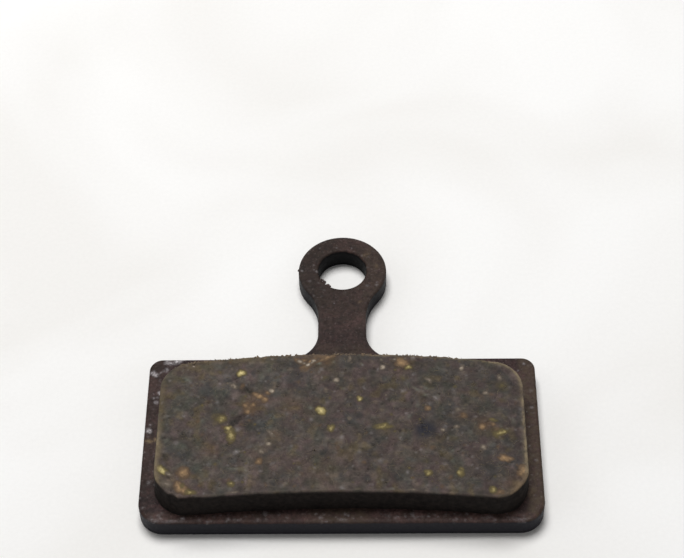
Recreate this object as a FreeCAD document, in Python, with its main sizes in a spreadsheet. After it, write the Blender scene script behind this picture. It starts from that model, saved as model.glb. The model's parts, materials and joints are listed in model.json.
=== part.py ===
import FreeCAD, Part
import math
import os

import Sketcher

# Disc brake pad for a bicycle caliper: a blanked steel backing plate with a pin eyelet,
# and a moulded friction block that is keyed through two holes of the plate.
# Frame, in millimetres: origin on the pin hole's axis at the plate's back face,
# +X across the pad, +Y from the block towards the eyelet, +Z towards the rotor.

# Driving dimensions
SIZES = [
    ("plate_width", 29.0, "plate body, side to side"),
    ("plate_height", 14.4, "plate body, shoulder to foot"),
    ("plate_thickness", 1.6, "steel strip"),
    ("plate_top_radius", 1.0, "shoulder corners of the plate"),
    ("plate_low_radius", 1.8, "foot corners of the plate"),
    ("pin_to_plate", 8.6, "pin axis to the plate's shoulder"),
    ("pin_diameter", 3.5, "retaining pin that the eyelet hangs on"),
    ("pin_clearance", 0.1, "radial room between pin and eyelet"),
    ("eyelet_wall", 1.6, "steel round the pin hole"),
    ("neck_width", 3.7, "neck between eyelet and shoulder"),
    ("neck_fillet", 4.0, "eyelet into neck"),
    ("root_fillet", 2.4, "neck into shoulder"),
    ("edge_roll", 0.22, "rounding that blanking leaves round the friction side"),
    ("key_diameter", 4.2, "keying holes, which the block's bosses fill"),
    ("key_inset", 5.85, "block's side to the keying hole's centre"),
    ("key_recess", 0.15, "bosses stop this far inside the back face"),
    ("block_thickness", 2.1, "friction material above the plate"),
    ("block_side_margin", 1.15, "bare plate beside the block"),
    ("block_top_margin", 1.05, "shoulder to the crown of the block's upper edge"),
    ("block_low_margin", 0.65, "bare plate below the block's lower corners"),
    ("block_top_radius", 86.0, "upper edge of the block, bowed like the rotor's rim"),
    ("block_low_radius", 110.0, "lower edge of the block"),
    ("block_corner", 2.4, "corners of the block in plan"),
    ("block_draft", 1.5, "mould draft of the block's walls, in degrees"),
    ("block_rim", 0.16, "broken edge round the friction face"),
]

# Largest shares of the room between eyelet and shoulder that the neck's fillets may take
BLEND_SHARE = 0.5
ROOT_SHARE = 0.48

# Sizes that follow from the driving ones, as expressions on the sheet
PLATE_SIDE = "dimensions.plate_width / 2"
SHOULDER_DROP = "dimensions.pin_to_plate"
FOOT_DROP = "(dimensions.pin_to_plate + dimensions.plate_height)"
BORE_RADIUS = "(dimensions.pin_diameter / 2 + dimensions.pin_clearance)"
EYELET_RADIUS = "(%s + dimensions.eyelet_wall)" % BORE_RADIUS
NECK_SIDE = "(dimensions.neck_width / 2)"
NECK_ROOM = "(dimensions.pin_to_plate - %s)" % EYELET_RADIUS
BLEND_LIMIT = "(((%s + %s * %s) ^ 2 / (%s - %s) - %s - %s) / 2)" % (
    EYELET_RADIUS, BLEND_SHARE, NECK_ROOM, EYELET_RADIUS, NECK_SIDE, EYELET_RADIUS, NECK_SIDE)
BLEND_RADIUS = "min(dimensions.neck_fillet; %s)" % BLEND_LIMIT
ROOT_RADIUS = "min(dimensions.root_fillet; %s * %s)" % (ROOT_SHARE, NECK_ROOM)
BLOCK_SIDE = "(dimensions.plate_width / 2 - dimensions.block_side_margin)"
CROWN_DROP = "(dimensions.pin_to_plate + dimensions.block_top_margin)"
BLOCK_FOOT_DROP = "(%s - dimensions.block_low_margin)" % FOOT_DROP
KEY_OFFSET = "(%s - dimensions.key_inset)" % BLOCK_SIDE
KEY_DROP = "((%s + %s) / 2)" % (CROWN_DROP, BLOCK_FOOT_DROP)
KEY_RADIUS = "dimensions.key_diameter / 2"

# A sketch numbers its origin and Y axis downwards from -1, and a curve's points upwards from 1
ORIGIN, Y_AXIS = range(-1, -3, -1)
START, END, CENTRE = range(1, 4)

LEVEL_TOLERANCE = 1e-6

doc = FreeCAD.newDocument("brake_pad")
sheet = doc.addObject("Spreadsheet::Sheet", "dimensions")


def fill_sheet():
    for row, (name, number, note) in enumerate(SIZES, start=1):
        sheet.set("A%d" % row, name)
        sheet.set("B%d" % row, str(number))
        sheet.set("C%d" % row, note)
        sheet.setAlias("B%d" % row, name)
    doc.recompute()


def value(expression):
    return float(sheet.evalExpression(expression))


def origin_plane(body, role):
    return [item for item in body.Origin.OriginFeatures if item.Role == role][0]


def make_body(name):
    body = doc.addObject("PartDesign::Body", name)
    body.Label = name
    body.Placement = FreeCAD.Placement()
    return body


def add_sketch(body, name, height=None):
    """A sketch on the body's own XY plane, lifted by an expression where a height is given."""
    sketch = body.newObject("Sketcher::SketchObject", name)
    sketch.AttachmentSupport = (origin_plane(body, "XY_Plane"), [""])
    sketch.MapMode = "FlatFace"
    if height is not None:
        sketch.setExpression("AttachmentOffset.Base.z", height)
    return sketch


def dimension(sketch, name, expression, kind, *points):
    """A named size in a sketch that follows the sheet."""
    index = sketch.addConstraint(Sketcher.Constraint(kind, *points, value(expression)))
    sketch.renameConstraint(index, name)
    sketch.setExpression("Constraints." + name, expression)


def join_tangent(sketch, joints):
    for first, first_end, second, second_end in joints:
        sketch.addConstraint(Sketcher.Constraint("Tangent", first, first_end, second, second_end))


def make_equal(sketch, first, others):
    for other in others:
        sketch.addConstraint(Sketcher.Constraint("Equal", first, other))


def point_along(sketch, direction, lines):
    for line in lines:
        sketch.addConstraint(Sketcher.Constraint(direction, line))


def add_line(sketch, x1, y1, x2, y2):
    segment = Part.LineSegment(FreeCAD.Vector(x1, y1, 0), FreeCAD.Vector(x2, y2, 0))
    return sketch.addGeometry(segment)


def circle(x, y, radius):
    return Part.Circle(FreeCAD.Vector(x, y, 0), FreeCAD.Vector(0, 0, 1), radius)


def add_arc(sketch, x, y, radius, start, end):
    """Counter-clockwise arc between two angles in degrees."""
    return sketch.addGeometry(Part.ArcOfCircle(circle(x, y, radius), math.radians(start), math.radians(end)))


def pad(body, sketch, name, length, downwards=False):
    feature = body.newObject("PartDesign::Pad", name)
    feature.Profile = sketch
    feature.setExpression("Length", length)
    feature.Reversed = downwards
    return feature


def cut_through(body, sketch, name):
    """A hole from the sketch on the back face up through everything."""
    feature = body.newObject("PartDesign::Pocket", name)
    feature.Profile = sketch
    feature.Type = "ThroughAll"
    feature.Reversed = True
    return feature


def mirror_across(body, original, name):
    """The same feature again on the other side of the pad's middle."""
    feature = body.newObject("PartDesign::Mirrored", name)
    feature.Originals = [original]
    feature.MirrorPlane = (origin_plane(body, "YZ_Plane"), [""])
    body.Tip = feature
    return feature


def round_face(body, base, height, radius, name):
    """Round every edge of the level face at this height."""
    doc.recompute()
    level = []
    for number, face in enumerate(base.Shape.Faces, start=1):
        box = face.BoundBox
        if max(abs(box.ZMin - height), abs(box.ZMax - height)) < LEVEL_TOLERANCE:
            level.append("Face%d" % number)
    fillet = body.newObject("PartDesign::Fillet", name)
    fillet.Base = (base, level)
    fillet.setExpression("Radius", radius)
    return fillet


def draw_plate_outline(sketch):
    """One closed outline, tangent all the way round: body, shoulders, neck and eyelet."""
    side = value(PLATE_SIDE)
    shoulder = -value(SHOULDER_DROP)
    foot = -value(FOOT_DROP)
    top = value("dimensions.plate_top_radius")
    low = value("dimensions.plate_low_radius")
    neck = value(NECK_SIDE)
    root = value(ROOT_RADIUS)
    blend = value(BLEND_RADIUS)
    eyelet = value(EYELET_RADIUS)
    blend_y = -math.sqrt((eyelet + blend) ** 2 - (neck + blend) ** 2)
    lean = math.degrees(math.atan2(-blend_y, neck + blend))

    foot_line = add_line(sketch, -side + low, foot, side - low, foot)
    low_right = add_arc(sketch, side - low, foot + low, low, -90, 0)
    right = add_line(sketch, side, foot + low, side, shoulder - top)
    top_right = add_arc(sketch, side - top, shoulder - top, top, 0, 90)
    shoulder_right = add_line(sketch, side - top, shoulder, neck + root, shoulder)
    root_right = add_arc(sketch, neck + root, shoulder + root, root, 180, 270)
    neck_right = add_line(sketch, neck, shoulder + root, neck, blend_y)
    blend_right = add_arc(sketch, neck + blend, blend_y, blend, 180 - lean, 180)
    ring = add_arc(sketch, 0, 0, eyelet, -lean, 180 + lean)
    blend_left = add_arc(sketch, -neck - blend, blend_y, blend, 0, lean)
    neck_left = add_line(sketch, -neck, blend_y, -neck, shoulder + root)
    root_left = add_arc(sketch, -neck - root, shoulder + root, root, 270, 360)
    shoulder_left = add_line(sketch, -neck - root, shoulder, -side + top, shoulder)
    top_left = add_arc(sketch, -side + top, shoulder - top, top, 90, 180)
    left = add_line(sketch, -side, shoulder - top, -side, foot + low)
    low_left = add_arc(sketch, -side + low, foot + low, low, 180, 270)

    join_tangent(sketch, [
        (foot_line, END, low_right, START),
        (low_right, END, right, START),
        (right, END, top_right, START),
        (top_right, END, shoulder_right, START),
        (shoulder_right, END, root_right, END),
        (root_right, START, neck_right, START),
        (neck_right, END, blend_right, END),
        (blend_right, START, ring, START),
        (ring, END, blend_left, END),
        (blend_left, START, neck_left, START),
        (neck_left, END, root_left, END),
        (root_left, START, shoulder_left, START),
        (shoulder_left, END, top_left, START),
        (top_left, END, left, START),
        (left, END, low_left, START),
        (low_left, END, foot_line, START),
    ])
    point_along(sketch, "Vertical", [left, right, neck_left, neck_right])
    point_along(sketch, "Horizontal", [foot_line, shoulder_right, shoulder_left])
    make_equal(sketch, top_right, [top_left])
    make_equal(sketch, low_right, [low_left])
    make_equal(sketch, root_right, [root_left])
    make_equal(sketch, blend_right, [blend_left])
    sketch.addConstraint(Sketcher.Constraint("Coincident", ring, CENTRE, ORIGIN, START))
    dimension(sketch, "side_right", PLATE_SIDE, "DistanceX", ORIGIN, START, right, END)
    dimension(sketch, "side_left", PLATE_SIDE, "DistanceX", left, START, ORIGIN, START)
    dimension(sketch, "neck_right", NECK_SIDE, "DistanceX", ORIGIN, START, neck_right, START)
    dimension(sketch, "neck_left", NECK_SIDE, "DistanceX", neck_left, START, ORIGIN, START)
    dimension(sketch, "drop_right", SHOULDER_DROP, "DistanceY", shoulder_right, END, ORIGIN, START)
    dimension(sketch, "drop_left", SHOULDER_DROP, "DistanceY", shoulder_left, START, ORIGIN, START)
    dimension(sketch, "foot_drop", FOOT_DROP, "DistanceY", foot_line, START, ORIGIN, START)
    dimension(sketch, "eyelet_radius", EYELET_RADIUS, "Radius", ring)
    dimension(sketch, "blend_radius", BLEND_RADIUS, "Radius", blend_right)
    dimension(sketch, "root_radius", ROOT_RADIUS, "Radius", root_right)
    dimension(sketch, "top_radius", "dimensions.plate_top_radius", "Radius", top_right)
    dimension(sketch, "low_radius", "dimensions.plate_low_radius", "Radius", low_right)


def draw_bore(sketch):
    ring = sketch.addGeometry(circle(0, 0, value(BORE_RADIUS)))
    sketch.addConstraint(Sketcher.Constraint("Coincident", ring, CENTRE, ORIGIN, START))
    dimension(sketch, "bore_radius", BORE_RADIUS, "Radius", ring)


def draw_key(sketch):
    """Keying hole and boss share this circle, because the block is moulded into the plate."""
    ring = sketch.addGeometry(circle(value(KEY_OFFSET), -value(KEY_DROP), value(KEY_RADIUS)))
    dimension(sketch, "key_offset", KEY_OFFSET, "DistanceX", ORIGIN, START, ring, CENTRE)
    dimension(sketch, "key_drop", KEY_DROP, "DistanceY", ring, CENTRE, ORIGIN, START)
    dimension(sketch, "key_radius", KEY_RADIUS, "Radius", ring)


def draw_block_outline(sketch):
    """Two long arcs bowed towards the eyelet, two straight sides and four round corners."""
    side = value(BLOCK_SIDE)
    corner = value("dimensions.block_corner")
    top = value("dimensions.block_top_radius")
    low = value("dimensions.block_low_radius")
    inset = side - corner
    top_y = -value(CROWN_DROP) - top
    upper_y = top_y + math.sqrt((top - corner) ** 2 - inset ** 2)
    lower_y = -value(BLOCK_FOOT_DROP) + corner
    low_y = lower_y - math.sqrt((low + corner) ** 2 - inset ** 2)
    top_angle = math.degrees(math.atan2(upper_y - top_y, inset))
    low_angle = math.degrees(math.atan2(lower_y - low_y, inset))

    low_arc = add_arc(sketch, 0, low_y, low, low_angle, 180 - low_angle)
    low_right = add_arc(sketch, inset, lower_y, corner, low_angle - 180, 0)
    right = add_line(sketch, side, lower_y, side, upper_y)
    top_right = add_arc(sketch, inset, upper_y, corner, 0, top_angle)
    top_arc = add_arc(sketch, 0, top_y, top, top_angle, 180 - top_angle)
    top_left = add_arc(sketch, -inset, upper_y, corner, 180 - top_angle, 180)
    left = add_line(sketch, -side, upper_y, -side, lower_y)
    low_left = add_arc(sketch, -inset, lower_y, corner, 180, 360 - low_angle)

    join_tangent(sketch, [
        (low_arc, START, low_right, START),
        (low_right, END, right, START),
        (right, END, top_right, START),
        (top_right, END, top_arc, START),
        (top_arc, END, top_left, START),
        (top_left, END, left, START),
        (left, END, low_left, START),
        (low_left, END, low_arc, END),
    ])
    point_along(sketch, "Vertical", [left, right])
    make_equal(sketch, low_right, [low_left, top_left, top_right])
    for long_arc in (low_arc, top_arc):
        sketch.addConstraint(Sketcher.Constraint("PointOnObject", long_arc, CENTRE, Y_AXIS))
    dimension(sketch, "side_right", BLOCK_SIDE, "DistanceX", ORIGIN, START, right, START)
    dimension(sketch, "side_left", BLOCK_SIDE, "DistanceX", left, START, ORIGIN, START)
    dimension(sketch, "corner_radius", "dimensions.block_corner", "Radius", low_right)
    dimension(sketch, "top_radius", "dimensions.block_top_radius", "Radius", top_arc)
    dimension(sketch, "low_radius", "dimensions.block_low_radius", "Radius", low_arc)
    dimension(sketch, "top_centre", CROWN_DROP + " + dimensions.block_top_radius", "DistanceY",
              top_arc, CENTRE, ORIGIN, START)
    dimension(sketch, "corner_centre", BLOCK_FOOT_DROP + " - dimensions.block_corner", "DistanceY",
              low_right, CENTRE, ORIGIN, START)


def make_backing_plate():
    """Blanked steel: sharp at the back, rolled edges on the friction side, holes punched through."""
    body = make_body("backing_plate")
    outline = add_sketch(body, "plate_outline")
    draw_plate_outline(outline)
    pad(body, outline, "plate_blank", "dimensions.plate_thickness")
    bore_sketch = add_sketch(body, "bore_outline")
    draw_bore(bore_sketch)
    bore = cut_through(body, bore_sketch, "pin_bore")
    round_face(body, bore, value("dimensions.plate_thickness"), "dimensions.edge_roll", "rolled_edge")
    key_sketch = add_sketch(body, "key_outline")
    draw_key(key_sketch)
    key = cut_through(body, key_sketch, "key_hole")
    mirror_across(body, key, "key_holes")
    return body


def make_friction_block():
    """Moulded compound: drafted walls, a broken rim and two bosses down into the plate."""
    body = make_body("friction_block")
    outline = add_sketch(body, "block_outline", "dimensions.plate_thickness")
    draw_block_outline(outline)
    block = pad(body, outline, "block", "dimensions.block_thickness")
    block.setExpression("TaperAngle", "-dimensions.block_draft")
    friction_face = value("dimensions.plate_thickness + dimensions.block_thickness")
    round_face(body, block, friction_face, "dimensions.block_rim", "block_edge")
    boss_sketch = add_sketch(body, "boss_outline", "dimensions.plate_thickness")
    draw_key(boss_sketch)
    boss_length = "dimensions.plate_thickness - dimensions.key_recess"
    boss = pad(body, boss_sketch, "key_boss", boss_length, downwards=True)
    mirror_across(body, boss, "key_bosses")
    return body


def check(bodies):
    for item in doc.Objects:
        if "Invalid" in item.State or "Error" in item.State:
            raise RuntimeError("%s is %s" % (item.Name, item.State))
    for body in bodies:
        if body.Shape.isNull() or not body.Shape.isValid() or len(body.Shape.Solids) != 1:
            raise RuntimeError(body.Label + " is not one valid solid")


def export(bodies):
    os.makedirs("parts", exist_ok=True)
    for body in bodies:
        body.Shape.exportStep("parts/%s.step" % body.Label)
        print(body.Label, "volume", round(body.Shape.Volume, 2), "mm3")


fill_sheet()
parts = [make_backing_plate(), make_friction_block()]
doc.recompute()
check(parts)
export(parts)
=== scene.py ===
import json
import math

import bpy
import numpy as np
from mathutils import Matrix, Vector, geometry, kdtree


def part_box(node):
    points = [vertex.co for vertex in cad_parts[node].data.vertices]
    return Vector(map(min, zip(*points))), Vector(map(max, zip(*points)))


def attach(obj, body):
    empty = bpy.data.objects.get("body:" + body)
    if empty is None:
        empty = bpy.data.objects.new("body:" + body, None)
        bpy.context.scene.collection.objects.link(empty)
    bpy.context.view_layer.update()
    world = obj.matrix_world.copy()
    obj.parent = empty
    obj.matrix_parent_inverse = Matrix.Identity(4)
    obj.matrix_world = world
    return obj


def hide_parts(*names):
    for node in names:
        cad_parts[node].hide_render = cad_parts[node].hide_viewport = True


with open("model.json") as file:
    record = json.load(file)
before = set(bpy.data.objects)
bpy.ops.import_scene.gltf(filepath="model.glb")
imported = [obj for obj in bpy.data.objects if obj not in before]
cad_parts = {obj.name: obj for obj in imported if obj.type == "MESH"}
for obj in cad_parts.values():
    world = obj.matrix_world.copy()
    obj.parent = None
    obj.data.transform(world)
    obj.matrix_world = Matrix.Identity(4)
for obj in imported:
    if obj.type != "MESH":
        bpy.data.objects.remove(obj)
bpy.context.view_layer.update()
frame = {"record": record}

# A bicycle disc brake pad: a blanked steel plate with a pin eyelet, and a moulded friction block.
# Meshes are worked out in millimetres and scaled to metres when they are made.
MM = 0.001
PER_MM = 1000.0

# Sizes from the frame
plate_low, plate_high = (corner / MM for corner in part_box("backing_plate"))
block_low, block_high = (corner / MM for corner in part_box("friction_block"))
bore_mount = [mount for mount in frame["record"]["mounts"] if mount["name"] == "pin_hole"][0]

PLATE_SIDE = plate_high.x
PLATE_FOOT = plate_low.y
PLATE_TOP = plate_high.z
EYELET_RADIUS = plate_high.y
BORE_RADIUS = bore_mount["dims"]["r_mm"]
BLOCK_SIDE = block_high.x
BLOCK_CROWN = block_high.y
BLOCK_FOOT = block_low.y
FRICTION_FACE = block_high.z
BOSS_END = block_low.z

# Sizes of the plate's outline, edges and keying holes, as in the part's source
SHOULDER = -8.6
PLATE_TOP_RADIUS = 1.0
PLATE_LOW_RADIUS = 1.8
NECK_SIDE = 1.85
NECK_BLEND = 4.0
NECK_ROOT = 2.4
EDGE_ROLL = 0.22
BACK_BREAK = 0.03

# Sizes of the block and its bosses, as in the part's source
BLOCK_TOP_RADIUS = 86.0
BLOCK_LOW_RADIUS = 110.0
BLOCK_CORNER = 2.4
BLOCK_RIM = 0.16
DRAFT = math.tan(math.radians(1.5))
KEY_RADIUS = 2.1
KEY_INSET = 5.85
KEY_X = BLOCK_SIDE - KEY_INSET
KEY_Y = (BLOCK_CROWN + BLOCK_FOOT) / 2
# Where the block's walls end and its worn rim begins
TOP_WALL = FRICTION_FACE - BLOCK_RIM

# Spacing of mesh points
BLOCK_SPACING = 0.075
PLATE_SPACING = 0.085
BACK_SPACING = 0.2
HIDDEN_SPACING = 0.6
OUTLINE_STEP = 0.08
ROUND_STEP = 0.14
# Between the rows of a triangular grid, and the random shift of its points, both in spacings
ROW_PITCH = 0.866
JITTER = 0.28
# The block's underside stays this far above the plate
SEAM = 0.004
# A strip of the plate on which marks show lies beyond these
MARGIN_X = 13.2
MARGIN_Y = -21.9


def trace(path, step):
    """Points and outward normals along a closed counter-clockwise path of lines and arcs."""
    points = []
    normals = []
    for piece in path:
        if len(piece) == 4:
            x0, y0, x1, y1 = piece
            length = math.hypot(x1 - x0, y1 - y0)
            count = max(1, round(length / step))
            share = np.arange(count) / count
            points.append(np.stack([x0 + (x1 - x0) * share, y0 + (y1 - y0) * share], 1))
            normals.append(np.tile([(y1 - y0) / length, (x0 - x1) / length], (count, 1)))
        else:
            x, y, radius, start, end = piece
            sweep = math.radians(end - start)
            count = max(6, round(abs(sweep) * radius / step))
            angle = math.radians(start) + sweep * np.arange(count) / count
            spoke = np.stack([np.cos(angle), np.sin(angle)], 1)
            points.append(np.array([x, y]) + radius * spoke)
            normals.append(math.copysign(1, sweep) * spoke)
    return np.concatenate(points), np.concatenate(normals)


def plate_path():
    """Outline of the plate: body, root fillets, neck, neck fillets and eyelet."""
    side, foot, top, low = PLATE_SIDE, PLATE_FOOT, PLATE_TOP_RADIUS, PLATE_LOW_RADIUS
    neck, root, blend = NECK_SIDE, NECK_ROOT, NECK_BLEND
    blend_y = -math.sqrt((EYELET_RADIUS + blend) ** 2 - (neck + blend) ** 2)
    lean = math.degrees(math.atan2(-blend_y, neck + blend))
    return [
        (-side + low, foot, side - low, foot),
        (side - low, foot + low, low, -90, 0),
        (side, foot + low, side, SHOULDER - top),
        (side - top, SHOULDER - top, top, 0, 90),
        (side - top, SHOULDER, neck + root, SHOULDER),
        (neck + root, SHOULDER + root, root, 270, 180),
        (neck, SHOULDER + root, neck, blend_y),
        (neck + blend, blend_y, blend, 180, 180 - lean),
        (0, 0, EYELET_RADIUS, -lean, 180 + lean),
        (-neck - blend, blend_y, blend, lean, 0),
        (-neck, blend_y, -neck, SHOULDER + root),
        (-neck - root, SHOULDER + root, root, 0, -90),
        (-neck - root, SHOULDER, -side + top, SHOULDER),
        (-side + top, SHOULDER - top, top, 90, 180),
        (-side, SHOULDER - top, -side, foot + low),
        (-side + low, foot + low, low, 180, 270),
    ]


def block_path():
    """Outline of the block: bowed crown, bowed-in foot and rounded corners."""
    side, corner = BLOCK_SIDE, BLOCK_CORNER
    inset = side - corner
    top_y = BLOCK_CROWN - BLOCK_TOP_RADIUS
    upper_y = top_y + math.sqrt((BLOCK_TOP_RADIUS - corner) ** 2 - inset ** 2)
    lower_y = BLOCK_FOOT + corner
    low_y = lower_y - math.sqrt((BLOCK_LOW_RADIUS + corner) ** 2 - inset ** 2)
    top_angle = math.degrees(math.atan2(upper_y - top_y, inset))
    low_angle = math.degrees(math.atan2(lower_y - low_y, inset))
    return [
        (0, low_y, BLOCK_LOW_RADIUS, 180 - low_angle, low_angle),
        (inset, lower_y, corner, low_angle - 180, 0),
        (side, lower_y, side, upper_y),
        (inset, upper_y, corner, 0, top_angle),
        (0, top_y, BLOCK_TOP_RADIUS, top_angle, 180 - top_angle),
        (-inset, upper_y, corner, 180 - top_angle, 180),
        (-side, upper_y, -side, lower_y),
        (-inset, lower_y, corner, 180, 360 - low_angle),
    ]


def circle_path(x, y, radius):
    return [(x, y, radius, 0, 360)]


def value_noise(x, y, cell, seed):
    """Smooth noise from -1 to 1 with features of about one cell."""
    size = 256
    table = np.random.default_rng(seed).uniform(-1, 1, (size, size))
    u = x / cell
    v = y / cell
    i = np.floor(u).astype(int)
    j = np.floor(v).astype(int)
    a = u - i
    b = v - j
    a = a * a * (3 - 2 * a)
    b = b * b * (3 - 2 * b)
    i0, i1, j0, j1 = i % size, (i + 1) % size, j % size, (j + 1) % size
    first = table[i0, j0] * (1 - a) + table[i1, j0] * a
    second = table[i0, j1] * (1 - a) + table[i1, j1] * a
    return first * (1 - b) + second * b


def layered_noise(x, y, cell, seed, layers=3):
    """Several layers of noise, each half as coarse and half as strong, turned against the last."""
    total = np.zeros_like(x)
    strength = 1.0
    for layer in range(layers):
        turn = 0.6 + 1.1 * layer
        u = x * math.cos(turn) - y * math.sin(turn)
        v = x * math.sin(turn) + y * math.cos(turn)
        total += strength * value_noise(u, v, cell, seed + layer)
        strength *= 0.5
        cell *= 0.5
    return total / 1.6


def inside(points, loop):
    """Which points lie inside a closed loop."""
    result = np.zeros(len(points), bool)
    ends = np.roll(loop, -1, axis=0)
    x, y = points[:, 0], points[:, 1]
    for (x0, y0), (x1, y1) in zip(loop, ends):
        if y0 == y1:
            continue
        crosses = (y0 > y) != (y1 > y)
        result ^= crosses & (x < (x1 - x0) * (y - y0) / (y1 - y0) + x0)
    return result


def nearest(points, loop):
    """Number of the loop's point nearest to each point."""
    tree = kdtree.KDTree(len(loop))
    for index, point in enumerate(loop):
        tree.insert((point[0], point[1], 0), index)
    tree.balance()
    return np.array([tree.find((x, y, 0))[1] for x, y in points])


def distance_to(points, loop):
    """Distance from each point to the loop's nearest point."""
    found = loop[nearest(points, loop)]
    return np.hypot(points[:, 0] - found[:, 0], points[:, 1] - found[:, 1])


def hex_points(low, high, spacing, rng):
    """Jittered triangular grid over a box."""
    rows = int((high[1] - low[1]) / (spacing * ROW_PITCH)) + 1
    columns = int((high[0] - low[0]) / spacing) + 1
    column, row = np.meshgrid(np.arange(columns), np.arange(rows))
    x = low[0] + (column + 0.5 * (row % 2)) * spacing
    y = low[1] + row * spacing * ROW_PITCH
    points = np.stack([x.ravel(), y.ravel()], 1)
    return points + rng.uniform(-JITTER, JITTER, points.shape) * spacing


def fill(loops, points):
    """Triangles over the first loop without the others: loop points come first, then inner points."""
    border = np.concatenate(loops)
    edges = []
    first = 0
    for loop in loops:
        count = len(loop)
        edges += [(first + i, first + (i + 1) % count) for i in range(count)]
        first += count
    everything = np.concatenate([border, points])
    result = geometry.delaunay_2d_cdt([Vector(p) for p in everything], edges, [], 0, 1e-7)
    if len(result[0]) != len(everything):
        raise RuntimeError("the triangulation merged points")
    # Only a triangle whose corners are all loop points can lie outside or over a hole
    triangles = np.array(result[2])
    on_border = (triangles < len(border)).all(1)
    middles = everything[triangles[on_border]].mean(1)
    keep = inside(middles, loops[0])
    for loop in loops[1:]:
        keep &= ~inside(middles, loop)
    chosen = np.ones(len(triangles), bool)
    chosen[np.flatnonzero(on_border)[~keep]] = False
    return triangles[chosen]


def inner_points(loops, spacing, rng, margin=0.55):
    """Jittered points inside the first loop, outside the others and off every loop."""
    points = hex_points(loops[0].min(0), loops[0].max(0), spacing, rng)
    keep = inside(points, loops[0])
    for loop in loops[1:]:
        keep &= ~inside(points, loop)
    points = points[keep]
    return points[distance_to(points, np.concatenate(loops)) > margin * spacing]


class Builder:
    """Collects the points and faces of one mesh."""

    def __init__(self):
        self.points = []
        self.faces = []
        self.count = 0

    def add(self, points):
        """Adds points and returns their numbers."""
        start = self.count
        self.points.append(np.asarray(points, float))
        self.count += len(points)
        return np.arange(start, self.count)

    def band(self, lower, upper, hole=False):
        """Quads between two loops that run counter-clockwise, seen from above."""
        next_lower, next_upper = np.roll(lower, -1), np.roll(upper, -1)
        if hole:
            quads = np.stack([lower, upper, next_upper, next_lower], 1)
        else:
            quads = np.stack([lower, next_lower, next_upper, upper], 1)
        self.faces += quads.tolist()

    def bands(self, loops, hole=False):
        """A wall of quads from loop to loop."""
        for lower, upper in zip(loops, loops[1:]):
            self.band(lower, upper, hole)

    def cover(self, numbers, triangles, flip=False):
        """Triangles over the points with these numbers, turned over for a face that looks down."""
        chosen = numbers[triangles]
        self.faces += (chosen[:, ::-1] if flip else chosen).tolist()

    def place(self):
        """All points so far."""
        return np.concatenate(self.points)


def merged(parts):
    """Points and faces of many small meshes in one."""
    points = []
    faces = []
    count = 0
    for part_points, part_faces in parts:
        points.append(part_points)
        faces += [tuple(number + count for number in face) for face in part_faces]
        count += len(part_points)
    return np.concatenate(points), faces


def finish_mesh(name, points, faces, material, values=None):
    """An object from points in millimetres, with one number a point for each of the values."""
    mesh = bpy.data.meshes.new(name)
    mesh.from_pydata((np.asarray(points) * MM).tolist(), [], faces)
    mesh.polygons.foreach_set("use_smooth", [True] * len(mesh.polygons))
    for key, numbers in (values or {}).items():
        attribute = mesh.attributes.new(key, "FLOAT", "POINT")
        attribute.data.foreach_set("value", np.asarray(numbers, np.float32))
    mesh.materials.append(material)
    mesh.update()
    piece = bpy.data.objects.new(name, mesh)
    bpy.context.scene.collection.objects.link(piece)
    return piece


def at_height(flat, height):
    """Points in the plane lifted to one height or to a height each."""
    return np.column_stack([flat, np.broadcast_to(height, len(flat))])


def ease(edge0, edge1, number):
    """Smooth step from 0 at the first edge to 1 at the second."""
    share = np.clip((number - edge0) / (edge1 - edge0), 0, 1)
    return share * share * (3 - 2 * share)


def hill(x, y, middle_x, middle_y, spread):
    """A round soft spot: 1 in the middle and about a third where the squared distance is the spread."""
    return np.exp(-((x - middle_x) ** 2 + (y - middle_y) ** 2) / spread)


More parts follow.
